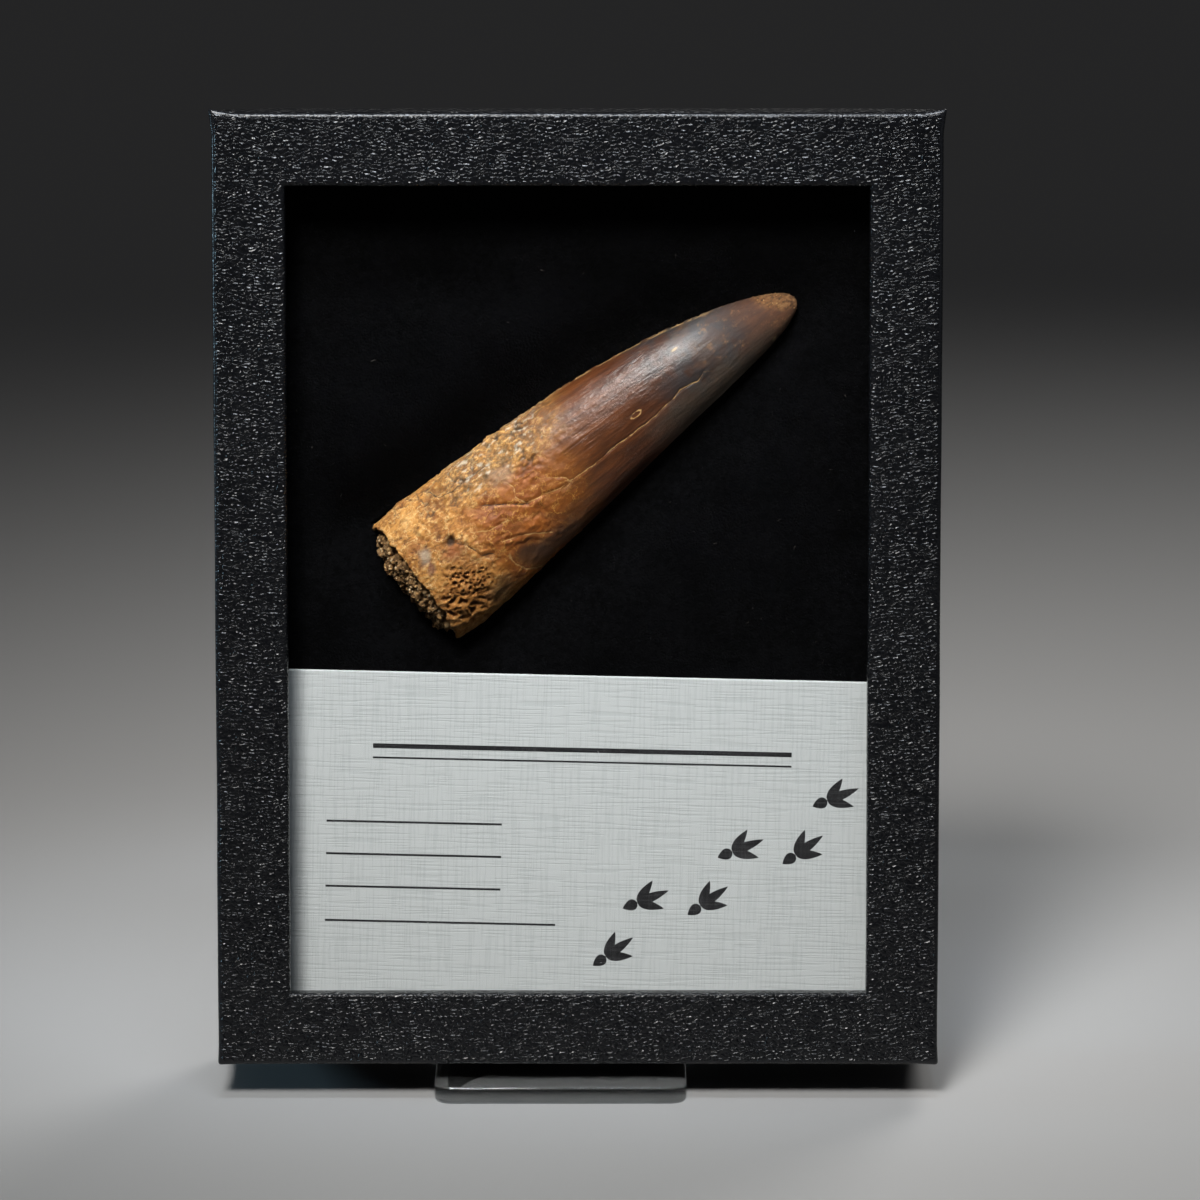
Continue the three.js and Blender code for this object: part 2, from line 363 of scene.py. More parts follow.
def loft(work, rings, closed=False):  # rings of points joined by faces, with end caps unless closed
    rows = [[work.verts.new(p) for p in ring] for ring in rings]
    for low, high in zip(rows, rows[1:]):
        bridge(work, low, high)
    if closed:
        bridge(work, rows[-1], rows[0])
    else:
        work.faces.new(rows[0])
        work.faces.new(rows[-1])
    return rows


def arc(centre, radius, start, end, steps):  # points of an arc, angles in degrees
    angles = [math.radians(start + (end - start) * i / steps) for i in range(steps + 1)]
    return [(centre[0] + radius * math.cos(a), centre[1] + radius * math.sin(a)) for a in angles]


def line(start, end, steps):  # points after start, up to end
    return [tuple(a + (b - a) * i / steps for a, b in zip(start, end)) for i in range(1, steps + 1)]


# Shared finishes
def makeWrapGrain():  # flat little cells parted by narrow grooves, with longer creases across them
    tree, desk, given, out = startGroup(
        "wrapGrain", {"Place": None, "Cell Size": 0.6, "Crease": 0.5}, ("Height", "Rub")
    )
    place = given["Place"]
    drift = desk.add(
        "ShaderNodeTexNoise", {"Vector": place, "Scale": 0.5, "Detail": 2.0}, noise_dimensions="2D"
    ).outputs[1]
    loose = desk.vector("ADD", place, desk.scaled(drift, 0.9))
    wide = desk.vector("MULTIPLY", loose, (0.7, 1.15, 1.0))  # cells lie wider than tall
    density = desk.math("DIVIDE", 1.0, given["Cell Size"])
    groove = desk.step(desk.cells(wide, density, "DISTANCE_TO_EDGE", flat=True), 0.02, 0.3)
    deep = desk.step(desk.noise(place, 1.1, 0.0, flat=True), 0.28, 0.45)
    groove = desk.mix(deep, desk.timesPlus(groove, 0.3, 0.7), groove)
    slack = desk.vector("ADD", desk.vector("MULTIPLY", place, (0.6, 1.0, 1.0)), desk.scaled(drift, 3.2))
    crease = desk.step(desk.cells(slack, 0.4, "DISTANCE_TO_EDGE", flat=True), 0.008, 0.06)
    crease = desk.mix(given["Crease"], 1.0, crease)
    swell = desk.noise(wide, desk.times(density, 0.7), 0.0, flat=True)
    height = desk.timesPlus(swell, 0.3, desk.times(groove, 0.7))
    rub = desk.step(desk.noise(place, 0.09, 3.0, 0.6, flat=True), 0.45, 0.75)
    desk.dress(out, Height=desk.times(height, crease), Rub=rub)
    return tree


def makeMottle():  # slow colour drift with a fine grain on it
    tree, desk, given, out = startGroup("mottle", {"Place": None, "Size": 5.0, "Grain": 0.3}, ("Shade",))
    density = desk.math("DIVIDE", 1.0, given["Size"])
    broad = desk.noise(given["Place"], density, 3.0, 0.6)
    fine = desk.noise(given["Place"], desk.times(density, 9.0), 1.0)
    desk.dress(out, Shade=desk.mix(given["Grain"], broad, fine))
    return tree


wrapGrain = makeWrapGrain()
mottle = makeMottle()


def wrapPaper(name, cellSize, crease, depth, colour, roughness):
    material, desk, shader = startMaterial(name)
    place = sheetMm(desk, "sheet")
    grain = useGroup(desk, wrapGrain, Place=place, Cell_Size=cellSize, Crease=crease)
    shade = useGroup(desk, mottle, Place=place, Size=9.0, Grain=0.4)["Shade"]
    worn = tuple(min(1.0, c * 1.7 + 0.004) for c in colour)
    edge = desk.stored("edgeRub")
    tone = desk.tint(desk.mix(edge, shade, 1.0), colour, worn)
    gloss = desk.timesPlus(shade, 0.06, desk.timesPlus(grain["Rub"], 0.05, roughness))
    gloss = desk.mix(edge, gloss, 0.24)
    desk.dress(shader, Base_Color=tone, Roughness=gloss, Specular_IOR_Level=0.3)
    height = desk.times(grain["Height"], desk.timesPlus(edge, -0.8, 1.0))
    desk.bump(shader, height, depth, 1.0)
    return material


# Lid: board with a window and four walls, wrapped in black leatherette paper
lidSpec = {
    "border": 8.25,
    "board": 2.0,
    "wall": 1.6,
    "length": 17.8,
    "windowRounding": 0.5,
    "frontRounding": 0.5,
    "backRounding": 0.3,
    "windowCorner": 0.12,
    "outerCorner": 0.4,
    "steps": (44, 58, 4),
    "wobble": 0.05,  # unevenness of the wrapped board
    "wobbleSpan": 11,
    "seed": 5,
    "cornerFlare": 0.85,  # folded paper stands out at the upper front corners
    "flareReach": 2.0,
    "flareDepth": 5,
    "lowerFlare": 0.25,  # share of the flare that the lower corners have
    "turnInStart": 1.4,
    "turnInSlant": 4.5,  # the end walls' sheets narrow by this towards the back
    "sheet": 0.07,
    "sheetSunk": 0.1,
    "edgeRub": 1.0,  # paper stretched smooth over the front edge
    "lipRub": 0.3,
}


def buildLid(spec):
    border, rounding = spec["border"], spec["frontRounding"]
    edge, back, length = spec["windowRounding"], spec["backRounding"], spec["length"]
    profile = [(0.0, spec["board"])]
    profile += arc((edge, edge), edge, 180, 270, 5)
    profile += line((edge, 0.0), (border - rounding, 0.0), 14)[:-1]
    profile += arc((border - rounding, rounding), rounding, 270, 360, 6)
    profile += line((border, rounding), (border, length - back), 16)[:-1]
    profile += arc((border - back, length - back), back, 0, 90, 3)
    inner = border - spec["wall"]
    profile += [(inner, length), (inner, spec["board"])]
    half = (caseSpec["width"] / 2 - border, caseSpec["height"] / 2 - border)
    middle = caseSpec["height"] / 2
    work = bmesh.new()
    rings = []
    for out, depth in profile:
        share = (out / border) ** 2
        radius = spec["windowCorner"] + (spec["outerCorner"] - spec["windowCorner"]) * share
        ring = ringPoints(half[0] + out, half[1] + out, radius, *spec["steps"])
        rings.append(atDepth(ring, depth))
    rubbed = work.verts.layers.float.new("edgeRub")
    rows = loft(work, rings, closed=True)
    for (out, depth), row in zip(profile, rows):
        onLip = out <= edge and depth < spec["board"]
        onEdge = out > border - rounding and depth <= rounding
        for vert in row:
            vert[rubbed] = spec["edgeRub"] if onEdge else spec["lipRub"] if onLip else 0.0
    outerHalf = Vector((caseSpec["width"] / 2, caseSpec["height"] / 2))
    noise.seed_set(spec["seed"])
    for vert in work.verts:
        shake = noise.noise_vector(vert.co / spec["wobbleSpan"]) * spec["wobble"]
        flat = Vector((vert.co.x, vert.co.z - middle))
        gap = Vector((outerHalf.x - abs(flat.x), outerHalf.y - abs(flat.y))).length
        reach = max(0.0, 1 - gap / spec["flareReach"]) ** 2 * max(0.0, 1 - vert.co.y / spec["flareDepth"])
        flare = flat.normalized() * reach * spec["cornerFlare"] * (1.0 if flat.y > 0 else spec["lowerFlare"])
        vert.co += shake + Vector((flare.x, 0, flare.y))
    for level, way in ((caseSpec["height"], 1), (0.0, -1)):  # sheets turned in over the end walls
        wide = caseSpec["width"] / 2 - spec["outerCorner"]
        narrow = wide - spec["turnInSlant"]
        start = spec["turnInStart"]
        outline = [(-wide, start), (wide, start), (narrow, length), (-narrow, length)]
        low = [Vector((x, y, level - spec["sheetSunk"] * way)) for x, y in outline]
        high = [Vector((x, y, level + spec["sheet"] * way)) for x, y in outline]
        loft(work, [low, high])
    unfoldPaper(work)
    return finishMesh(work, "case_lid")


leatherette = wrapPaper(
    "leatherette", cellSize=0.5, crease=0.8, depth=0.00012, colour=(0.0015, 0.0017, 0.0024), roughness=0.15
)
lid = makeObject("case_lid", buildLid(lidSpec), leatherette)
rideRoot(lid, "case_wrap", "lid_frame")


# Tray: the lower half of the case, which the lid slides over
traySpec = {
    "front": 4.2,
    "wall": 1.4,
    "panel": 1.2,
    "corner": 0.8,
    "edge": 0.35,
    "steps": (30, 40, 4),
    "sheetInset": 2.6,  # lining sheet pasted on the back
    "sheet": 0.14,
    "sheetSunk": 0.1,
    "sheetCorner": 1.2,
    "sheetSteps": (24, 32, 4),
}


def buildTray(spec):
    inset, depth, edge = caseSpec["trayInset"], caseSpec["depth"], spec["edge"]
    inner = inset + spec["wall"]
    profile = [(inner, depth - spec["panel"]), (inner, spec["front"]), (inset, spec["front"])]
    profile += line((inset, spec["front"]), (inset, depth - edge), 10)
    profile += [(inset + edge * 0.3, depth - edge * 0.3), (inset + edge, depth)]
    middle = caseSpec["height"] / 2
    work = bmesh.new()
    rings = []
    for inward, y in profile:
        half = (caseSpec["width"] / 2 - inward, middle - inward)
        ring = ringPoints(*half, spec["corner"], *spec["steps"])
        rings.append(atDepth(ring, y))
    loft(work, rings)
    half = (caseSpec["width"] / 2 - inset - spec["sheetInset"], middle - inset - spec["sheetInset"])
    outline = ringPoints(*half, spec["sheetCorner"], *spec["sheetSteps"])
    faces = (depth - spec["sheetSunk"], depth + spec["sheet"])
    loft(work, [atDepth(outline, y) for y in faces])
    unfoldPaper(work)
    return finishMesh(work, "case_tray")


trayPaper = wrapPaper(
    "trayPaper", cellSize=0.4, crease=0.35, depth=0.00004, colour=(0.007, 0.007, 0.0075), roughness=0.45
)
tray = makeObject("case_tray", buildTray(traySpec), trayPaper)
rideRoot(tray, "tray_wrap", "tray")


# Glass and clear moulding: lamps shine through them
def clearMaterial(name, colour, ior, roughness):
    material, desk, shader = startMaterial(name)
    tone = (*colour, 1)
    desk.dress(shader, Base_Color=tone, Roughness=roughness, IOR=ior, Transmission_Weight=1.0)
    lampRay = desk.add("ShaderNodeLightPath").outputs["Is Shadow Ray"]
    through = desk.add("ShaderNodeBsdfTransparent", (tone,))
    both = desk.add("ShaderNodeMixShader", (lampRay, shader.outputs[0], through.outputs[0]))
    desk.dress(material.node_tree.nodes["Material Output"], Surface=both.outputs[0])
    return material


displayGlass = clearMaterial("displayGlass", colour=(0.985, 0.99, 0.99), ior=1.15, roughness=0.0)
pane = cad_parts["window_pane"]
pane.data.materials.clear()
pane.data.materials.append(displayGlass)

standSpec = {
    "bevel": 0.0003,
    "segments": 3,
    "flatAngle": math.radians(1),  # faces this close to flat are one
    "bevelAngle": math.radians(35),  # edges sharper than this are bevelled
    "shadeAngle": math.radians(30),
}


def buildStand(spec):
    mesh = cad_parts["acrylic_stand"].data.copy()
    mesh.name = "clear_stand"
    work = bmesh.new()
    work.from_mesh(mesh)
    bmesh.ops.remove_doubles(work, verts=work.verts, dist=1e-6)
    bmesh.ops.dissolve_limit(work, angle_limit=spec["flatAngle"], verts=work.verts, edges=work.edges)
    joined = [e for e in work.edges if len(e.link_faces) == 2]
    sharp = [e for e in joined if e.calc_face_angle() > spec["bevelAngle"]]
    bmesh.ops.bevel(
        work, geom=sharp, offset=spec["bevel"], segments=spec["segments"], profile=0.5, affect="EDGES"
    )
    bmesh.ops.recalc_face_normals(work, faces=work.faces)
    work.to_mesh(mesh)
    work.free()
    mesh.materials.clear()
    mesh.shade_smooth()
    mesh.set_sharp_from_angle(angle=spec["shadeAngle"])
    return mesh


acrylic = clearMaterial("acrylic", colour=(0.97, 0.985, 0.99), ior=1.49, roughness=0.02)
stand = makeObject("clear_stand", buildStand(standSpec), acrylic)
rideRoot(stand, "clear_acrylic", "acrylic_stand")


# Tooth: lofted along u by a rule, then weathered
# u runs from the broken end to the tip, v across, w to the glass
toothSpec = {
    "length": 54.5,
    "halfWidth": 8.6,
    "depthRatio": 0.69,
    "taper": 1.3,
    "bow": 1.3,
    "bowPeak": 1.35,
    "offset": 0.5,
    "baseDepth": 10.3,
    "tipDepth": 8.0,
    "place": (-18.45, 0.0, 54.1),
    "slope": math.radians(37.1),
    "rings": 420,
    "sides": 220,
    "enamelStart": 21.0,
    "enamelStep": 0.14,  # the enamel stands above the root by this
    "capShare": 0.08,  # share of the rings that close the broken end
    "rimZone": 5.0,
    "rimPinch": 0.06,
    "rimTilt": 1.3,
    "rimRagged": 0.85,
    "fillBulge": 1.5,
    "fillGroove": (0.88, 0.06, 0.9),  # the filling has shrunk from the rim: where, how wide, how deep
    "paleCracks": [  # points in u and v
        [(16.2, 0.5), (18.9, -0.1), (20.6, -0.4), (25.3, -0.6), (28.2, -0.4), (33.3, -0.4), (35.9, -0.2),
         (37.9, 0.2), (40.2, -0.1), (41.3, 0.3)],
        [(16.2, 0.5), (15.6, 1.9), (16.1, 2.9), (15.7, 3.9)],
        [(20.0, 1.4), (21.5, 0.1), (21.6, -0.7), (20.4, -0.7)],
        [(6.6, -0.9), (8.3, -1.4), (9.8, -2.7)],
        [(9.3, 1.6), (10.9, 0.6), (13.3, 0.2)],
        [(11.5, -1.4), (14.0, -2.4), (16.4, -4.0)],
    ],
    "darkCracks": [
        [(7.9, 8.2), (8.4, 7.1), (10.2, 6.5), (12.6, 6.9), (15.4, 6.7)],
        [(6.8, 2.0), (7.9, 0.8), (8.2, -0.3), (8.4, -1.2), (9.6, -1.9)],
        [(12.0, 3.4), (14.2, 1.9), (16.2, 0.4)],
    ],
    "lens": (13.2, -4.9, -0.62, 2.75, 1.75),  # smooth dark patch: u, v, turn, half length, half width
    "loop": (32.3, 1.1, 0.1, 0.66, 0.3),  # small pale ring
    "sponge": (4.2, -3.8, 0.93, 4.9, 3.6),  # bared spongy bone
    "hollows": [  # u, v, radius, depth
        (13.0, -4.8, 2.0, 0.18), (8.0, 7.4, 1.5, 0.3), (17.0, 6.6, 1.6, 0.28), (6.6, 2.3, 0.6, 0.5),
    ],
    "stains": [  # patch as above, colour, share: stains, with one painted highlight and one painted shade among them
        ((3.1, 2.5, 0.9, 1.2, 0.9), (0.36, 0.29, 0.21), 0.75),
        ((2.9, 1.0, 0.9, 0.9, 0.5), (0.12, 0.04, 0.035), 0.7),
        ((6.4, 1.2, 0.0, 1.6, 1.0), (0.27, 0.07, 0.018), 0.65),
        ((15.5, -2.2, -0.5, 2.6, 1.3), (0.34, 0.095, 0.012), 0.75),
        # painted highlight: the sheen of a smooth spot, drawn as a pale mauve patch
        ((15.6, 4.9, 0.0, 1.8, 1.2), (0.3, 0.19, 0.13), 0.6),
        ((6.6, 2.3, 0.6, 0.6, 0.52), (0.045, 0.024, 0.012), 0.95),
        ((40.2, 4.25, 0.0, 0.5, 0.16), (0.5, 0.33, 0.15), 0.9),
        ((50.0, -1.6, 0.3, 0.4, 0.2), (0.42, 0.29, 0.15), 0.9),
        # painted shade: the dark lower side of the root, drawn as a dark patch
        ((17.2, -5.2, -0.1, 3.6, 1.3), (0.055, 0.024, 0.01), 0.8),
        ((7.6, -5.8, 0.3, 2.2, 1.1), (0.1, 0.055, 0.018), 0.7),
    ],
}


def crackObject(name, lines):  # polylines in the plane of u and v
    mesh = bpy.data.meshes.new(name)
    points, edges = [], []
    for one in lines:
        edges += [(len(points) + i, len(points) + i + 1) for i in range(len(one) - 1)]
        points += [(u, v, 0.0) for u, v in one]
    mesh.from_pydata(points, edges, [])
    return makeObject(name, mesh)


def makeToothTree(spec):
    names = (
        "Length", "Half Width", "Depth Ratio", "Taper", "Bow", "Bow Peak", "Offset", "Base Depth",
        "Tip Depth", "Enamel Start", "Rings", "Sides",
    )
    sizes = {name: spec[name[0].lower() + name[1:].replace(" ", "")] for name in names}
    sizes.update({"Pale Cracks": "NodeSocketObject", "Dark Cracks": "NodeSocketObject"})
    sizes["Material"] = "NodeSocketMaterial"
    d = TreeDesk("toothLoft", sizes)
    g = d.given
    add, mul, less, most = d.plus, d.times, d.minus, d.most

    # Smooth tooth: the first rings close the broken end, the others run to the tip
    grid = d.add("GeometryNodeMeshGrid", (1.0, 1.0, g["Rings"], add(g["Sides"], 1.0)))
    ring, turn, _ = d.split(d.add("GeometryNodeInputPosition").outputs[0])
    ring, turn = add(ring, 0.5), mul(add(turn, 0.5), 2 * math.pi)
    fill = d.math("DIVIDE", ring, spec["capShare"], clamp=True)
    run = d.math("DIVIDE", less(ring, spec["capShare"]), 1 - spec["capShare"], clamp=True)
    s = less(1.0, d.math("POWER", less(1.0, run), 1.25))  # closer together at the tip
    angle = less(turn, mul(d.math("SINE", turn), 0.35))  # finer on the side that shows
    along = mul(s, g["Length"])
    end = d.math("POWER", most(less(1.0, d.math("DIVIDE", along, spec["rimZone"])), 0.0), 2.0)
    wide = d.math("SQRT", most(less(1.0, d.math("POWER", s, g["Taper"])), 0.0))
    radius = mul(wide, g["Half Width"], less(1.0, mul(end, spec["rimPinch"])))
    across = mul(radius, fill, d.math("SINE", angle))
    towards = mul(radius, fill, d.math("COSINE", angle))
    bowed = d.math("SINE", mul(d.math("POWER", s, g["Bow Peak"]), math.pi))
    middle = d.timesPlus(bowed, g["Bow"], g["Offset"])
    v, w = add(across, middle), mul(towards, g["Depth Ratio"])
    grooveAt, grooveWidth, grooveDepth = spec["fillGroove"]
    gap = d.math("DIVIDE", less(fill, grooveAt), grooveWidth)
    bulge = mul(less(d.math("POWER", fill, 3.0), 1.0), spec["fillBulge"])
    bulge = add(bulge, mul(d.math("EXPONENT", mul(gap, gap, -1.0)), grooveDepth))
    tilt = mul(end, spec["rimTilt"], d.math("DIVIDE", towards, g["Half Width"]))
    rim = mul(end, spec["rimRagged"], d.swing(d.xyz(across, towards, 7.0), 0.5, 4.0, 0.6))
    u = add(add(along, bulge), add(tilt, rim))
    depth = less(d.mix(s, g["Base Depth"], g["Tip Depth"]), w)
    mesh = d.store(grid.outputs[0], "toothPlace", d.xyz(u, v, w), "FLOAT_VECTOR")
    mesh = d.store(mesh, "matrixFill", d.step(fill, 0.97, 0.86))
    mesh = d.add("GeometryNodeSetPosition", {"Geometry": mesh, "Position": d.xyz(u, depth, v)}).outputs[0]
    mesh = d.add("GeometryNodeMergeByDistance", {"Geometry": mesh, "Distance": 0.002}).outputs[0]

    # Zones and marks
    place, matrix = d.read("toothPlace", "FLOAT_VECTOR"), d.read("matrixFill")
    u, v, w = d.split(place)
    wander = d.add("ShaderNodeTexNoise", {"Vector": place, "Scale": 0.55, "Detail": 4.0}).outputs[1]
    wander = d.vector("SUBTRACT", wander, (0.5, 0.5, 0.5))

    def shaken(reach):  # the place, moved about so that no edge is straight
        return d.vector("ADD", place, d.scaled(wander, reach))

    loose = shaken(1.6)
    front = d.step(w, -1.0, 1.5)
    edge = add(g["Enamel Start"], mul(v, 0.3), mul(d.swing(place, 0.3, 4.0, 0.6), 4.0))
    enamel = d.step(u, less(edge, 3.0), add(edge, 3.0))
    root = mul(less(1.0, enamel), less(1.0, matrix))
    upper = d.step(v, 2.0, 5.5)

    def oval(patch, reach=0.0):  # 1 at the rim of an oval patch, less inside
        atU, atV, turned, halfLong, halfShort = patch
        x, y, _ = d.split(d.vector("SUBTRACT", shaken(reach), (atU, atV, 0.0)))
        c, s = math.cos(turned), math.sin(turned)
        far = add(mul(x, c / halfLong), mul(y, s / halfLong))
        side = less(mul(y, c / halfShort), mul(x, s / halfShort))
        return d.math("SQRT", add(mul(far, far), mul(side, side)))

    offFront = mul(less(1.0, front), 9.0)  # keeps lines off the tooth's back

    def rimSide(patch, reach):  # distance from the rim, below zero inside
        return add(mul(less(oval(patch, reach), 1.0), patch[4]), offFront)

    def crackSide(cracks):  # distance to the nearest crack, below zero on its lower side
        target = d.add("GeometryNodeObjectInfo", {"Object": cracks}).outputs["Geometry"]
        flat = d.vector("MULTIPLY", shaken(0.6), (1.0, 1.0, 0.0))
        near = d.add("GeometryNodeProximity", {0: target, "Sample Position": flat}, target_element="EDGES")
        x, y, _ = d.split(d.vector("SUBTRACT", flat, near.outputs["Position"]))
        above = d.math("SIGN", add(mul(x, 0.5), mul(y, 0.87)))
        return mul(add(near.outputs["Distance"], offFront), above)

    paleSide, darkSide = crackSide(g["Pale Cracks"]), crackSide(g["Dark Cracks"])
    lensSide, loopSide = rimSide(spec["lens"], 1.0), rimSide(spec["loop"], 0.55)
    lens = d.step(lensSide, 0.15, -0.6)
    crackEdge = d.cells(loose, 0.62, "DISTANCE_TO_EDGE")
    crackOn = d.step(d.noise(place, 0.35, 2.0), 0.5, 0.62)
    crackle = mul(d.step(crackEdge, 0.09, 0.02), crackOn, mul(root, d.mix(upper, 0.2, 1.0)))
    tipCap = add(mul(u, 0.55), mul(v, 0.62), mul(d.swing(place, 0.9, 3.0), 0.5))
    grit = mul(d.step(tipCap, 29.0, 29.7), d.step(u, 50.2, 51.4))
    silhouette = mul(d.step(d.math("ABSOLUTE", w), 1.0, 0.3), d.step(v, 2.0, 3.0))
    chipOn = d.step(d.noise(place, 0.8, 3.0, 0.6), 0.4, 0.47)
    chip = mul(silhouette, chipOn, mul(d.step(u, 20.0, 23.0), d.step(u, 47.0, 44.0)))
    sponge = mul(d.step(oval(spec["sponge"], 2.4), 1.15, 0.55), mul(front, less(1.0, matrix)))
    x, y, _ = d.split(shaken(1.1))
    level, rise = less(mul(x, 0.8), mul(y, 0.6)), add(mul(x, 0.6), mul(y, 0.8))  # as it stands in the case
    wideHole = d.step(d.cells(d.xyz(mul(level, 0.55), rise, 3.0), 1.3, "DISTANCE_TO_EDGE"), 0.04, 0.34)
    smallHole = d.step(d.cells(d.xyz(mul(level, 0.75), rise, 5.0), 2.5, "DISTANCE_TO_EDGE"), 0.08, 0.36)
    holeOn = d.step(d.noise(place, 0.9, 2.0), 0.3, 0.52)
    hole = mul(d.mix(d.step(rise, -1.4, 0.4), wideHole, smallHole), holeOn, sponge)

    # Weathering, in millimetres out of the smooth tooth
    relief = mul(enamel, spec["enamelStep"])
    relief = add(relief, mul(d.swing(place, 0.42, 2.0), d.mix(enamel, 0.22, 0.05)))
    smooth = most(lens, mul(d.step(d.noise(place, 0.16, 2.0), 0.5, 0.6), 0.6))
    rough = mul(root, less(1.0, smooth), less(1.0, sponge))
    x, y, z = d.split(shaken(2.0))
    flow = d.swing(d.xyz(add(mul(x, 0.7), mul(y, -0.2)), add(mul(x, 0.35), mul(y, 1.5)), z), 1.0, 6.0, 0.7)
    relief = add(relief, mul(flow, mul(rough, d.mix(upper, 0.3, 0.5))))  # flakes lie along the root
    plates = less(d.split(d.cells(loose, 0.66, "F1", "Color"))[0], 0.5)
    relief = add(relief, mul(plates, mul(rough, d.mix(upper, 0.1, 0.24))))
    crumbs = less(0.45, d.cells(loose, 1.9))
    crumbsOn = d.step(d.noise(place, 0.4, 3.0, 0.6), 0.46, 0.6)
    relief = add(relief, mul(crumbs, mul(rough, crumbsOn, 0.26)))
    flutes = d.swing(d.xyz(mul(u, 0.05), mul(v, 1.7), mul(w, 1.7)), 1.0, 4.0, 0.62)
    fluted = mul(enamel, d.mix(d.step(d.noise(place, 0.2, 2.0), 0.42, 0.6), 0.02, 0.07))
    relief = add(relief, mul(flutes, fluted))
    for hollowU, hollowV, size, deep in spec["hollows"]:
        span = oval((hollowU, hollowV, 0.0, size, size), 0.4)
        relief = less(relief, mul(d.step(span, 1.25, 0.55), front, deep))
    ridged = d.swing(d.xyz(mul(level, 0.45), mul(rise, 1.3), z), 1.0, 3.0, 0.6)
    relief = add(relief, mul(sponge, less(mul(ridged, 0.5), mul(hole, 0.8))))
    for side, width, deep in ((paleSide, 0.2, 0.08), (darkSide, 0.22, 0.16), (lensSide, 0.3, 0.06)):
        relief = less(relief, mul(d.step(d.math("ABSOLUTE", side), width, 0.05), deep))
    relief = less(relief, add(mul(crackle, 0.25), mul(chip, 0.16)))
    grain = d.swing(place, 2.2, 4.0, 0.65)
    relief = add(relief, mul(grain, mul(grit, 0.2)))
    lumps = add(d.swing(place, 0.7, 4.0, 0.65), less(0.4, d.cells(loose, 1.4)))
    relief = add(relief, mul(matrix, add(mul(lumps, 1.1), mul(grain, 0.4))))

    # Colour zones
    reach = add(less(u, mul(v, 0.3)), mul(d.swing(place, 0.32, 5.0, 0.62), 7.0))
    greyZone = mul(d.step(u, 33.0, 39.0), d.step(u, 50.0, 45.0))
    dustEdge = add(v, mul(d.swing(place, 0.4, 4.0), 2.0))
    flakeNoise = d.noise(d.vector("MULTIPLY", place, (0.6, 1.4, 1.4)), 1.2, 3.0, 0.6)
    flakeZone = mul(d.step(v, 3.5, 6.0), mul(d.step(u, 9.0, 12.0), d.step(u, 25.0, 20.0)))
    waxEdge = add(u, mul(d.swing(place, 0.35, 3.0), 3.0))
    waxTop = add(v, mul(d.swing(place, 0.5, 2.0), 1.5))
    marks = {
        "enamel": enamel, "grit": most(grit, matrix), "chip": chip, "flow": flow, "hole": hole,
        "relief": relief, "sponge": sponge, "crackle": crackle,
        "paleSide": paleSide, "darkSide": darkSide, "lensSide": lensSide, "loopSide": loopSide,
        "tone": d.mix(0.3, d.noise(place, 0.22, 4.0, 0.6), d.noise(place, 2.0, 2.0)),
        "wax": mul(d.step(waxEdge, 7.0, 11.5), d.step(waxTop, 5.2, 3.2)),
        "crown": d.step(reach, 16.5, 25.5),
        "rust": d.step(d.noise(place, 0.27, 4.0, 0.62), 0.5, 0.62),
        "drab": mul(d.step(v, 3.5, 6.0), d.step(u, 8.0, 12.0)),
        "grey": mul(greyZone, d.step(d.noise(place, 0.5, 5.0, 0.65), 0.42, 0.58)),
        "tan": mul(d.step(u, 39.0, 44.0), d.step(d.noise(place, 0.8, 6.0, 0.72), 0.55, 0.66)),
        "dust": mul(d.step(dustEdge, 0.5, -2.0), d.step(u, 29.0, 37.0)),
        "flake": mul(d.step(flakeNoise, 0.58, 0.65), flakeZone),
    }
    stain, stainShare = (0.2, 0.1, 0.05), 0.0
    # stains, and the patches of painted highlight and painted shade, blended into one colour
    for patch, colour, share in spec["stains"]:
        inside = mul(d.step(oval(patch, 1.6 * patch[4]), 1.35, 0.45), front)
        stain = d.tint(inside, stain, colour)
        stainShare = most(stainShare, mul(inside, share))
    marks["stainShare"] = stainShare
    for name, value in marks.items():
        mesh = d.store(mesh, name, value)
    mesh = d.store(mesh, "stain", stain, "FLOAT_COLOR")
    normal = d.add("GeometryNodeInputNormal").outputs[0]
    offset = d.scaled(normal, d.read("relief"))
    mesh = d.add("GeometryNodeSetPosition", {"Geometry": mesh, "Offset": offset}).outputs[0]
    d.finish(mesh, g["Material"])
    return d


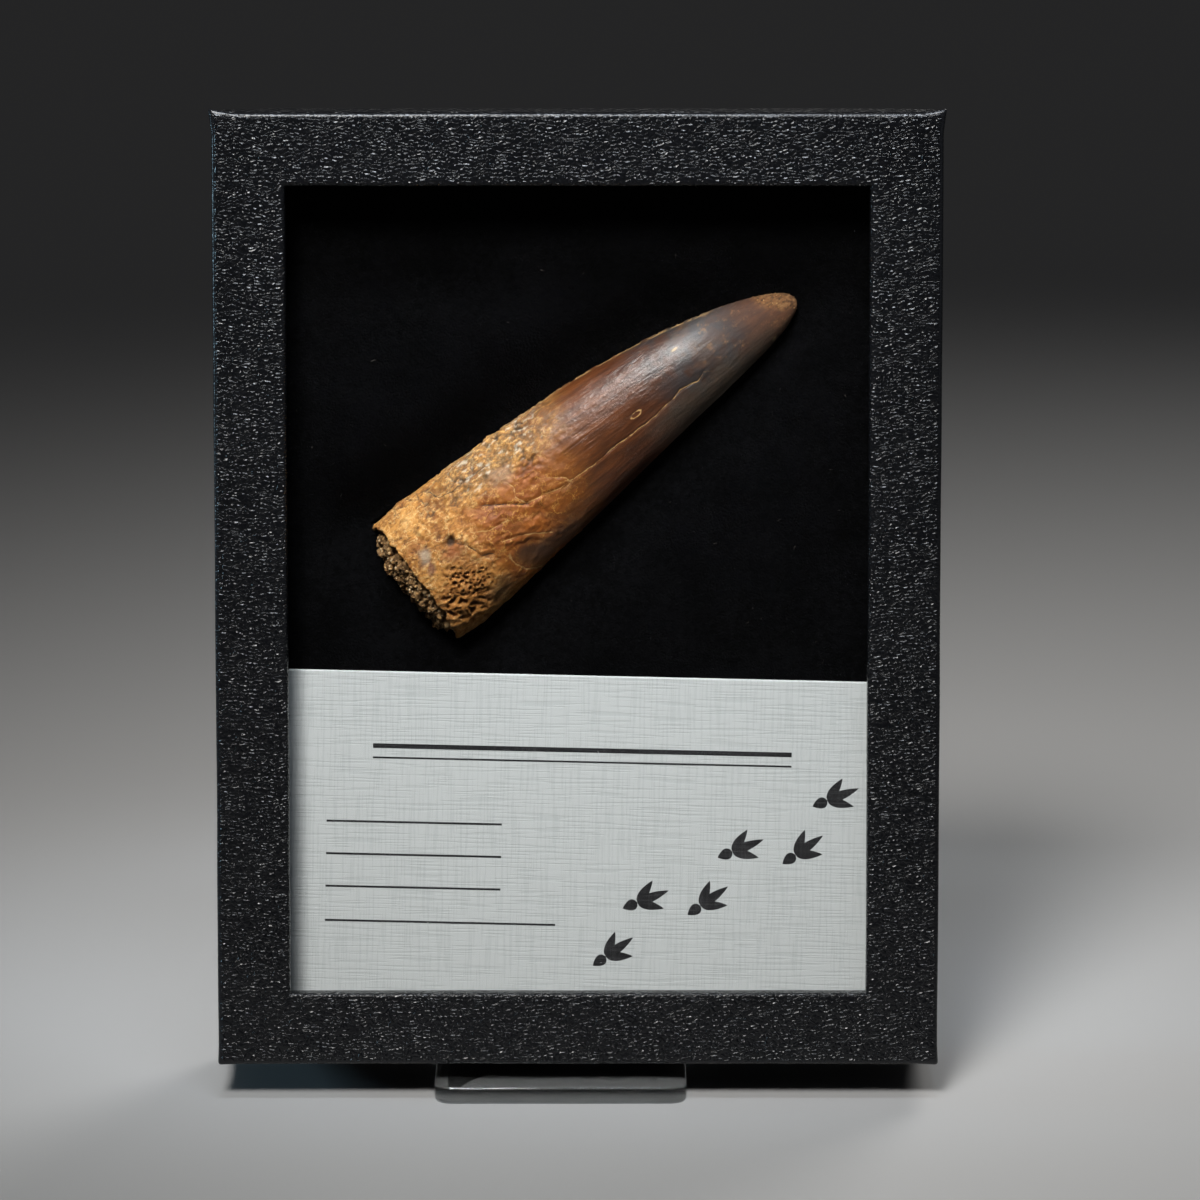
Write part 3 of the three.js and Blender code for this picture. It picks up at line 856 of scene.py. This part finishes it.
def toothMaterial(spec):
    material, desk, shader = startMaterial("fossilTooth")
    add, mul, most, read = desk.plus, desk.times, desk.most, desk.stored

    def lineOn(name, width):  # thin line where a stored distance passes zero
        return desk.step(desk.math("ABSOLUTE", read(name)), width, mul(width, 0.4))

    def layered(colour, *layers):  # each layer is a mask, its share and its tint
        for mask, share, tint in layers:
            colour = desk.tint(mul(mask, share), colour, tint)
        return colour

    place = read("toothPlace", "Vector")
    along, across, _ = desk.split(place)
    enamel, grit, dust, sponge = read("enamel"), read("grit"), read("dust"), read("sponge")
    flow, wax, tone = read("flow"), read("wax"), read("tone")

    # Root: gold and ochre, pale on the raised edges of its flakes and dark between them, which is partly its
    # own colour and partly painted highlight and painted shade
    fleck = desk.noise(desk.vector("MULTIPLY", place, (0.75, 1.3, 1.3)), 1.7, 5.0, 0.68)
    flaky = desk.timesPlus(wax, -0.75, 1.0)
    thread = desk.step(desk.math("ABSOLUTE", desk.swing(place, 0.55, 4.0, 0.62)), 0.035, 0.01)
    root = desk.ramp(
        tone, (0.34, (0.22, 0.072, 0.012)), (0.45, (0.42, 0.165, 0.03)), (0.56, (0.6, 0.27, 0.058)),
        (0.7, (0.72, 0.39, 0.13)),
    )
    root = layered(
        root,
        (read("rust"), 0.65, (0.24, 0.07, 0.012)),
        (wax, 0.75, desk.tint(tone, (0.13, 0.036, 0.005), (0.38, 0.135, 0.02))),
        # partly painted highlight on the raised flakes and painted shade in the low parts between them,
        # following flow and fleck, which also give the relief and the bump
        (mul(desk.step(flow, 0.12, 0.5), flaky), 0.5, (0.76, 0.44, 0.14)),
        (mul(desk.step(flow, 0.0, -0.42), flaky), 0.8, (0.08, 0.025, 0.005)),
        (mul(desk.step(fleck, 0.52, 0.66), flaky), 0.7, (0.82, 0.5, 0.18)),
        (mul(desk.step(fleck, 0.48, 0.36), flaky), 0.62, (0.07, 0.024, 0.006)),
        (mul(thread, desk.step(flow, -0.25, 0.1)), 0.65, (0.84, 0.57, 0.25)),
        (mul(read("drab"), desk.step(fleck, 0.62, 0.42)), 0.6, (0.14, 0.1, 0.05)),
    )
    root = desk.tint(mul(wax, 0.95), root, (0.84, 0.62, 0.32), "MULTIPLY")

    # Crown: mahogany, streaked along its length, greyer and blotched before the tip
    streak = desk.noise(desk.vector("MULTIPLY", place, (0.16, 1.5, 1.5)), 1.0, 5.0, 0.68)
    crown = desk.ramp(
        desk.math("DIVIDE", along, spec["length"]), (0.36, (0.26, 0.092, 0.022)),
        (0.46, (0.15, 0.046, 0.012)), (0.6, (0.1, 0.03, 0.009)), (0.7, (0.075, 0.028, 0.013)),
        (0.78, (0.052, 0.032, 0.023)), (0.86, (0.062, 0.028, 0.015)), (0.95, (0.1, 0.034, 0.011)),
    )
    crown = desk.tint(desk.step(streak, 0.36, 0.66), desk.tint(0.6, crown, (0.02, 0.008, 0.005)), crown)
    crown = layered(
        crown,
        (read("grey"), 0.85, (0.028, 0.025, 0.025)),
        (read("tan"), 0.65, (0.24, 0.12, 0.05)),
        (dust, 0.75, desk.tint(fleck, (0.016, 0.011, 0.007), (0.08, 0.055, 0.032))),
    )

    # Marks over both
    rise = desk.timesPlus(along, 0.6, mul(across, 0.8))
    lensTint = desk.tint(desk.step(rise, 2.2, 4.6), (0.24, 0.095, 0.026), (0.04, 0.015, 0.005))
    bare = mul(desk.minus(1.0, sponge), desk.minus(1.0, enamel))
    colour = layered(
        desk.tint(read("crown"), root, crown),
        (desk.step(read("lensSide"), 0.2, -0.9), 0.88, lensTint),
        (sponge, 0.7, desk.tint(fleck, (0.22, 0.062, 0.008), (0.62, 0.26, 0.045))),
        (read("hole"), 0.85, (0.1, 0.033, 0.008)),
        # darker where the surface is sunk below the smooth tooth
        (mul(desk.step(read("relief"), -0.05, -0.5), bare), 0.5, (0.045, 0.019, 0.007)),
    )
    # stains and the painted highlight and shade patches laid over the other colours
    stainAndPaintedLightMask = desk.math("MULTIPLY", read("stainShare"), add(fleck, 0.45), clamp=True)
    colour = desk.tint(stainAndPaintedLightMask, colour, read("stain", "Color"))
    darkLine = most(lineOn("darkSide", desk.step(fleck, 0.4, 0.6, 0.015, 0.13)), read("crackle"))
    paleLine = lineOn("paleSide", desk.step(fleck, 0.38, 0.64, 0.0, 0.12))
    loopLine = lineOn("loopSide", desk.step(fleck, 0.4, 0.6, 0.0, 0.1))
    lensLine = mul(lineOn("lensSide", desk.step(fleck, 0.36, 0.6, 0.05, 0.18)), desk.step(rise, 4.8, 3.6))
    colour = layered(
        colour,
        (darkLine, 0.85, (0.022, 0.011, 0.006)),
        (most(most(paleLine, loopLine), lensLine), 0.75, (0.6, 0.36, 0.14)),
        (read("chip"), 0.8, (0.5, 0.31, 0.13)),
        (read("flake"), 0.8, (0.66, 0.56, 0.42)),
    )
    sand = desk.ramp(
        fleck, (0.38, (0.09, 0.045, 0.016)), (0.52, (0.33, 0.18, 0.07)), (0.66, (0.47, 0.31, 0.15))
    )
    tipSand = desk.tint(1.0, sand, (0.52, 0.42, 0.36), "MULTIPLY")
    sand = desk.tint(read("matrixFill"), tipSand, sand)
    colour = desk.tint(grit, colour, sand)

    # Gloss and fine relief
    matte = most(dust, desk.step(along, 40.0, 48.0, 0.0, 0.95))
    crownGloss = desk.mix(matte, desk.mix(streak, 0.22, 0.42), 0.85)
    gloss = desk.mix(enamel, desk.mix(wax, 0.7, 0.58), crownGloss)
    gloss = desk.mix(grit, gloss, 0.92)
    desk.dress(shader, Base_Color=colour, Roughness=gloss, Specular_IOR_Level=0.44)
    striae = desk.noise(desk.vector("MULTIPLY", place, (0.14, 3.8, 3.8)), 1.0, 3.0, 0.65)
    crazed = desk.noise(place, 3.0, 2.0, 0.6)
    micro = desk.mix(enamel, mul(fleck, 2.0, flaky), add(mul(striae, 0.55), mul(crazed, 0.25)))
    desk.bump(shader, micro, 0.00014, 0.9)
    return material


def toothToCase(spec):
    return Matrix.Translation(spec["place"]) @ Matrix.Rotation(-spec["slope"], 4, "Y")


fossil = toothMaterial(toothSpec)
paleLines = crackObject("paleLines", toothSpec["paleCracks"])
darkLines = crackObject("darkLines", toothSpec["darkCracks"])
toothTree = makeToothTree(toothSpec)
tooth = toothTree.grow("fossil_tooth", paleCracks=paleLines, darkCracks=darkLines, material=fossil)
for helper in (paleLines, darkLines):
    bpy.data.objects.remove(helper)
tooth.data.transform(caseToFrame @ toothToCase(toothSpec))
rideRoot(tooth, "fossil_tooth", "tooth")

# Sand grains that stick to the broken end and the tip
grainSpec = {"perSquareMm": 3.0, "radius": 0.00017, "seed": 7}


def makeGrainTree():
    sizes = {
        "Surface": "NodeSocketGeometry", "Density": 1.0, "Radius": 0.0002, "Seed": 1,
        "Material": "NodeSocketMaterial",
    }
    d = TreeDesk("sandGrains", sizes)
    g = d.given
    bare = d.step(d.read("grit"), 0.5, 0.9)
    cover = {"Mesh": g["Surface"], "Density": d.times(bare, g["Density"]), "Seed": g["Seed"]}
    spread = d.add("GeometryNodeDistributePointsOnFaces", cover)
    grain = d.add("GeometryNodeMeshIcoSphere", {"Radius": g["Radius"], "Subdivisions": 1})

    def chance(kind, low, high, offset):
        return d.chance(kind, low, high, d.plus(g["Seed"], offset))

    form = chance("FLOAT_VECTOR", (0.7, 0.7, 0.6), (1.2, 1.2, 1.1), 1.0)
    size = d.scaled(form, chance("FLOAT", 0.35, 1.5, 4.0))
    size = d.scaled(size, d.mix(d.read("matrixFill"), 0.42, 1.0))  # finer and darker on the tip
    shade = d.times(chance("FLOAT", 0.0, 1.0, 3.0), d.mix(d.read("matrixFill"), 0.55, 1.0))
    anyWay = chance("FLOAT_VECTOR", (0.0, 0.0, 0.0), (6.3, 6.3, 6.3), 2.0)
    turn = d.add("FunctionNodeEulerToRotation", (anyWay,))
    placed = d.plant(spread.outputs["Points"], grain.outputs[0], turn.outputs[0], size)
    shaded = d.store(placed, "grainShade", shade, domain="INSTANCE")
    d.finish(shaded, g["Material"], smooth=False)
    return d


def sandMaterial():
    material, desk, shader = startMaterial("sandGrain")
    tone = desk.timesPlus(desk.swing(objectMm(desk), 2.4, 2.0), 0.5, desk.stored("grainShade"))
    stops = ((0.1, (0.12, 0.058, 0.02)), (0.4, (0.38, 0.2, 0.07)), (0.75, (0.55, 0.33, 0.13)),
             (0.97, (0.62, 0.47, 0.29)))
    gloss = desk.step(tone, 0.0, 1.0, 0.95, 0.55)
    desk.dress(shader, Base_Color=desk.ramp(tone, *stops), Roughness=gloss)
    return material


def scatter(tree, name, surface, spec, material):  # the spec's other values are inputs of the tree
    values = {key: value for key, value in spec.items() if key != "perSquareMm"}
    return tree.grow(name, surface, density=spec["perSquareMm"] * 1e6, material=material, **values)


grains = scatter(makeGrainTree(), "sand_grains", tooth.data.copy(), grainSpec, sandMaterial())
rideRoot(grains, "fossil_tooth")


# Pad: soft filling under black felt, sunk around the tooth
padSpec = {
    "front": 6.9,
    "back": 17.5,
    "inset": 3.7,
    "reach": 5.5,
    "belowAxis": 0.6,
    "cells": (150, 203),
    "outlineSteps": 110,
    "outlineGap": 0.24,
    "tipCrowding": 1.6,  # the outline's points stand closer together at the tip
    "ripple": 0.12,
    "rippleSpan": 7,
    "clearance": 0.25,
    "feltThickness": 0.3,
    "pastEnds": 3,  # the hollow under the tooth stops this far past its ends
}


def toothRule(s):  # the tooth's half width and its bow, at a share of its length
    t = toothSpec
    radius = t["halfWidth"] * math.sqrt(max(0.0, 1 - s ** t["taper"]))
    return radius, t["bow"] * math.sin(math.pi * s ** t["bowPeak"])


def toothUnder(x, z):  # distance from the tooth's outline, and the depths of its axis and back there
    t = toothSpec
    dx, dz = x - t["place"][0], z - t["place"][2]
    u = dx * math.cos(t["slope"]) + dz * math.sin(t["slope"])
    v = dz * math.cos(t["slope"]) - dx * math.sin(t["slope"])
    s = min(1.0, max(0.0, u / t["length"]))
    radius, bow = toothRule(s)
    side = abs(v - t["offset"] - bow)
    beyond = max(0.0, -u, u - t["length"])
    axis = t["baseDepth"] + (t["tipDepth"] - t["baseDepth"]) * s
    under = 0.0
    if beyond < padSpec["pastEnds"]:
        under = math.sqrt(max(0.0, radius**2 - side**2)) * t["depthRatio"]
    return math.hypot(beyond, max(0.0, side - radius)), axis, axis + under


def padFace(x, z, spec):
    gap, axis, back = toothUnder(x, z)
    press = math.exp(-((gap / spec["reach"]) ** 2))
    depth = spec["front"] + press * (axis + spec["belowAxis"] - spec["front"])
    span = spec["rippleSpan"]
    depth += spec["ripple"] * noise.fractal(Vector((x / span, 0.3, z / span)), 0.8, 2.1, 4)
    return max(depth, back + spec["clearance"] + spec["feltThickness"]) if gap <= 0 else depth


def toothOutline(spec):  # the tooth's outline in the plane of the glass
    t, steps = toothSpec, spec["outlineSteps"]
    sides = {1: [], -1: []}
    for side, points in sides.items():
        for i in range(steps + 1):
            s = 1 - (1 - i / steps) ** spec["tipCrowding"]
            radius, bow = toothRule(s)
            v = t["offset"] + bow + side * radius
            points.append(toothToCase(t) @ Vector((s * t["length"], 0, v)))
    return [Vector((p.x, p.z)) for p in sides[-1] + sides[1][-2::-1]]


def buildPad(spec):  # a grid that the tooth's outline is let into
    wide, tall = caseSpec["width"] - 2 * spec["inset"], caseSpec["height"] - 2 * spec["inset"]
    nx, nz = spec["cells"]
    outline = toothOutline(spec)
    points = []
    for j in range(nz + 1):
        for i in range(nx + 1):
            point = Vector((wide * (i / nx - 0.5), spec["inset"] + tall * j / nz))
            if min((point - p).length for p in outline) > spec["outlineGap"]:
                points.append(point)
    edges = loopPairs(len(outline), len(points))
    spots, _, faces, *_ = delaunay_2d_cdt(points + outline, edges, [], 0, 1e-5)
    work = bmesh.new()
    verts = [work.verts.new((p.x, padFace(p.x, p.y, spec), p.y)) for p in spots]
    for ids in faces:
        work.faces.new([verts[i] for i in ids])
    rim = [e for e in work.edges if e.is_boundary]
    walls = bmesh.ops.extrude_edge_only(work, edges=rim)["geom"]
    for vert in walls:
        if isinstance(vert, bmesh.types.BMVert):
            vert.co.y = spec["back"]
    bmesh.ops.contextual_create(work, geom=[e for e in work.edges if e.is_boundary])
    return finishMesh(work, "felt_pad")


def feltMaterial(name, colour, bright):
    material, desk, shader = startMaterial(name)
    place = objectMm(desk)
    shade = useGroup(desk, mottle, Place=place, Size=6.0, Grain=0.5)["Shade"]
    tone = desk.tint(desk.step(shade, 0.35, 0.7), colour, bright)
    desk.dress(shader, Base_Color=tone, Roughness=0.95, Specular_IOR_Level=0.03)
    desk.bump(shader, desk.noise(place, 4.0, 1.0), 0.0002, 0.7)
    return material


felt = feltMaterial("blackFelt", (0.0008, 0.0008, 0.0009), (0.0026, 0.0026, 0.003))
pad = makeObject("felt_pad", buildPad(padSpec), felt)
rideRoot(pad, "pad_felt", "backing_pad")

# Nap: short fibres over the felt that shows, and a few bits of pale lint
napSpec = {"perSquareMm": 9.0, "length": 0.00042, "radius": 0.000016, "lean": 1.0, "seed": 4}
lintSpec = {"perSquareMm": 0.011, "length": 0.0006, "radius": 0.00003, "lean": 1.5, "seed": 11}
shownSpec = {"halfWidth": 34, "top": 101.5, "bottom": 42.5, "back": 13, "facing": -0.2}


def makeFibreTree():
    sizes = {
        "Cloth": "NodeSocketGeometry", "Density": 1.0, "Length": 0.0004, "Radius": 0.00002, "Lean": 1.0,
        "Seed": 1, "Material": "NodeSocketMaterial",
    }
    d = TreeDesk("fibres", sizes)
    g = d.given
    cover = {"Mesh": g["Cloth"], "Density": g["Density"], "Seed": g["Seed"]}
    spread = d.add("GeometryNodeDistributePointsOnFaces", cover)
    shape = {
        "Vertices": 3, "Side Segments": 1, "Fill Segments": 1, "Radius Top": 0.0,
        "Radius Bottom": g["Radius"], "Depth": g["Length"],
    }
    fibre = d.add("GeometryNodeMeshCone", shape)
    lean = d.xyz(g["Lean"], g["Lean"], math.pi)
    tip = d.chance("FLOAT_VECTOR", d.scaled(lean, -1.0), lean, g["Seed"])
    turn = d.add("FunctionNodeEulerToRotation", (tip,))
    turns = (spread.outputs["Rotation"], turn.outputs[0])
    stand = d.add("FunctionNodeRotateRotation", turns, rotation_space="LOCAL")
    grown = d.chance("FLOAT", 0.6, 1.3)
    placed = d.plant(spread.outputs["Points"], fibre.outputs[0], stand.outputs[0], grown)
    d.finish(placed, g["Material"])
    return d


def shownFelt(name, spec):  # the part of the pad's face that shows through the window
    work = bmesh.new()
    work.from_mesh(pad.data)
    inverse = caseToFrame.inverted()
    hidden = []
    for face in work.faces:
        x, y, z = inverse @ face.calc_center_median()
        framed = abs(x) <= spec["halfWidth"] and spec["bottom"] <= z <= spec["top"]
        facing = (inverse.to_3x3() @ face.normal).y <= spec["facing"]
        covered = toothUnder(x, z)[0] <= 0 or y > spec["back"]
        if covered or not (framed and facing):
            hidden.append(face)
    bmesh.ops.delete(work, geom=hidden, context="FACES")
    mesh = bpy.data.meshes.new(name)
    work.to_mesh(mesh)
    work.free()
    return mesh


fibreTree = makeFibreTree()
nap = scatter(fibreTree, "felt_nap", shownFelt("felt_nap", shownSpec), napSpec, felt)
rideRoot(nap, "pad_felt")
paleLint = feltMaterial("paleLint", (0.12, 0.11, 0.1), (0.25, 0.22, 0.2))
lint = scatter(fibreTree, "pad_lint", shownFelt("pad_lint", shownSpec), lintSpec, paleLint)
rideRoot(lint, "pad_felt")


# Label: linen card with plain rules and a row of three-toed prints
cardSpec = {
    "width": 72.0,
    "height": 39.0,
    "thickness": 0.5,
    "front": 6.1,
    "top": 44.2,
    "tilt": math.radians(1.3),
    "corner": 0.4,
    "edge": 0.12,  # its front edge is worn back by this
    "rules": [  # left, right, height below the top edge, thickness
        (-23.4, 24.8, -8.9, 0.55),
        (-23.4, 24.8, -10.1, 0.22),
        (-28.6, -8.4, -17.6, 0.25),
        (-28.6, -8.4, -21.4, 0.25),
        (-28.6, -8.4, -25.2, 0.25),
        (-28.6, -2.0, -29.2, 0.25),
    ],
    "prints": 6,
    "trackStart": (3.0, -31.0),
    "trackEnd": (30.0, -15.5),
    "stride": 1.9,  # left and right prints stand this far off the path
    "printSize": 5.4,
    "toeIn": 0.12,
    "toes": [(-0.6, 0.576, 0.1), (0.0, 0.72, 0.1), (0.6, 0.576, 0.1), (math.pi, 0.34, 0.12)],
}


def toeOutline(length, width, heading, foot, steps=14):  # pointed lobe from the foot outwards
    way = Vector((math.sin(heading), math.cos(heading)))
    side = Vector((way.y, -way.x))
    right = []
    for i in range(steps + 1):
        t = i / steps
        right.append((t * length, width * math.sin(math.pi * t**0.7) ** 0.85))
    points = [foot + way * a + side * b for a, b in right]
    points += [foot + way * a - side * b for a, b in reversed(right[1:-1])]
    return points


def printOutlines(spec):
    outlines = []
    start, end = Vector(spec["trackStart"]), Vector(spec["trackEnd"])
    path = end - start
    heading = math.atan2(path.x, path.y)
    side = Vector((path.y, -path.x)).normalized()
    size = spec["printSize"]
    for i in range(spec["prints"]):
        way = -1 if i % 2 else 1
        foot = start + path * i / (spec["prints"] - 1) + side * spec["stride"] * way
        turned = heading - spec["toeIn"] * way
        for spread, length, width in spec["toes"]:
            outlines.append(toeOutline(size * length, size * width, turned + spread, foot))
    return outlines


def ruleOutline(left, right, level, thick):
    return [Vector(p) for p in ((left, level), (right, level), (right, level + thick), (left, level + thick))]


def insideAny(point, outlines):
    for outline in outlines:
        hit = False
        for a, b in zip(outline, outline[1:] + outline[:1]):
            if (a.y > point.y) != (b.y > point.y):
                if point.x < a.x + (point.y - a.y) * (b.x - a.x) / (b.y - a.y):
                    hit = not hit
        if hit:
            return True
    return False


def buildCard(spec):
    halfWide, halfTall = spec["width"] / 2, spec["height"] / 2
    rings = []
    for worn in (0.0, spec["edge"]):
        ring = ringPoints(halfWide - worn, halfTall - worn, spec["corner"], 1, 1, 3)
        rings.append([Vector((p.x, p.y - halfTall)) for p in ring])
    rim = rings[0]
    inked = [ruleOutline(*rule) for rule in spec["rules"]] + printOutlines(spec)
    points, edges = [], []
    for outline in rings + inked:
        edges += loopPairs(len(outline), len(points))
        points += outline
    verts, _, faces, *_ = delaunay_2d_cdt(points, edges, [], 0, 1e-5)
    work = bmesh.new()
    plane = work.loops.layers.uv.new("cardPlane")
    front = [work.verts.new((p.x, spec["front"], p.y)) for p in verts]
    for ids in faces:
        made = work.faces.new([front[i] for i in ids])
        middle = sum((verts[i] for i in ids), Vector((0, 0))) / len(ids)
        made.material_index = 1 if insideAny(middle, inked) else 0
    low = [work.verts.new((p.x, spec["front"] + spec["thickness"], p.y)) for p in rim]
    high = [min(front, key=lambda v: (v.co.x - p.x) ** 2 + (v.co.z - p.y) ** 2) for p in rim]
    for vert in high:
        vert.co.y += spec["edge"]
    bridge(work, low, high)
    work.faces.new(low)
    for made in work.faces:
        for corner in made.loops:
            corner[plane].uv = (corner.vert.co.x / 10, corner.vert.co.z / 10)  # centimetres
    turn = Matrix.Translation((0, 0, spec["top"])) @ Matrix.Rotation(spec["tilt"], 4, "Y")
    bmesh.ops.transform(work, matrix=turn, verts=work.verts)
    return finishMesh(work, "linen_card", 20)


def linenMaterial(name, colour, deep, roughness):
    material, desk, shader = startMaterial(name)
    place = sheetMm(desk, "cardPlane")
    runs, crowds = 0.14, 3.8  # noise per millimetre along and across the threads
    level = desk.noise(desk.vector("MULTIPLY", place, (runs, crowds, 1.0)), 1.0, 1.0, flat=True)
    upright = desk.noise(desk.vector("MULTIPLY", place, (crowds, runs, 1.0)), 1.0, 1.0, flat=True)
    weave = desk.times(desk.plus(desk.step(level, 0.36, 0.5), desk.step(upright, 0.36, 0.5)), 0.5)
    tone = desk.tint(weave, deep, colour)
    desk.dress(shader, Base_Color=tone, Roughness=roughness, Specular_IOR_Level=0.3)
    desk.bump(shader, weave, 0.00005, 0.5)
    return material


linen = linenMaterial("linenCard", (0.6, 0.62, 0.615), (0.52, 0.545, 0.54), roughness=0.75)
ink = linenMaterial("cardInk", (0.012, 0.012, 0.013), (0.03, 0.03, 0.032), roughness=0.45)
card = makeObject("linen_card", buildCard(cardSpec), linen, ink)
rideRoot(card, "linen_card", "label_card")


# Stage: pale floor, soft lamps and a dim surround
stageSpec = {"floor": 6.0, "floorColour": (0.42, 0.42, 0.42), "floorRoughness": 0.6, "surround": 0.13}
lampSpecs = [  # place from the middle of the case's front, in metres
    {"name": "key", "place": (-0.11, -0.39, 0.45), "size": 0.19, "watts": 0.19, "spread": 34,
     "colour": (1.0, 0.985, 0.96)},
    {"name": "top", "place": (0.0, -0.04, 0.155), "aim": (0.0, 0.0, 0.052), "size": 0.02, "length": 0.12,
     "watts": 0.02, "spread": 40, "colour": (0.84, 0.91, 1.0)},
    {"name": "rim", "place": (-0.45, 0.02, 0.05), "size": 0.06, "watts": 0.028, "spread": 40,
     "colour": (0.5, 0.8, 1.0)},
    {"name": "back", "place": (0.35, 0.6, 0.5), "size": 0.4, "watts": 0.35, "spread": 60,
     "colour": (1.0, 0.98, 0.95)},
]


def makeFloor(spec):
    mesh = bpy.data.meshes.new("floor")
    half = spec["floor"] / 2
    corners = [(-half, -half, 0), (half, -half, 0), (half, half, 0), (-half, half, 0)]
    mesh.from_pydata(corners, [], [(0, 1, 2, 3)])
    material, desk, shader = startMaterial("paleFloor")
    desk.dress(shader, Base_Color=(*spec["floorColour"], 1), Roughness=spec["floorRoughness"])
    makeObject("floor", mesh, material)


def makeLamp(spec, middle):
    data = bpy.data.lights.new(spec["name"], "AREA")
    data.shape = "RECTANGLE" if "length" in spec else "DISK"
    data.size, data.size_y = spec.get("length", spec["size"]), spec["size"]
    data.energy, data.color = spec["watts"], spec["colour"]
    data.spread = math.radians(spec["spread"])
    lamp = makeObject(spec["name"], data)
    lamp.location = middle + Vector(spec["place"])
    aim = middle + Vector(spec.get("aim", (0, 0, 0)))
    lamp.rotation_euler = (aim - lamp.location).to_track_quat("-Z", "Y").to_euler()


def makeSurround(spec):
    world = bpy.data.worlds.new("surround")
    scene.world = world
    world.use_nodes = True
    desk = NodeDesk(world.node_tree)
    up = desk.split(desk.add("ShaderNodeTexCoord").outputs["Generated"])[2]
    glow = desk.ramp(up, (0.0, (0.1, 0.1, 0.1)), (0.3, (0.16, 0.16, 0.165)), (0.9, (0.4, 0.4, 0.41)))
    desk.dress(world.node_tree.nodes["Background"], Color=glow, Strength=spec["surround"])


makeFloor(stageSpec)
caseMiddle = caseToFrame @ Vector((0, 0, caseSpec["height"] / 2))
for lampSpec in lampSpecs:
    makeLamp(lampSpec, caseMiddle)
makeSurround(stageSpec)
scene.view_settings.view_transform = "Standard"
scene.cycles.caustics_reflective = scene.cycles.caustics_refractive = False
print("stage set")
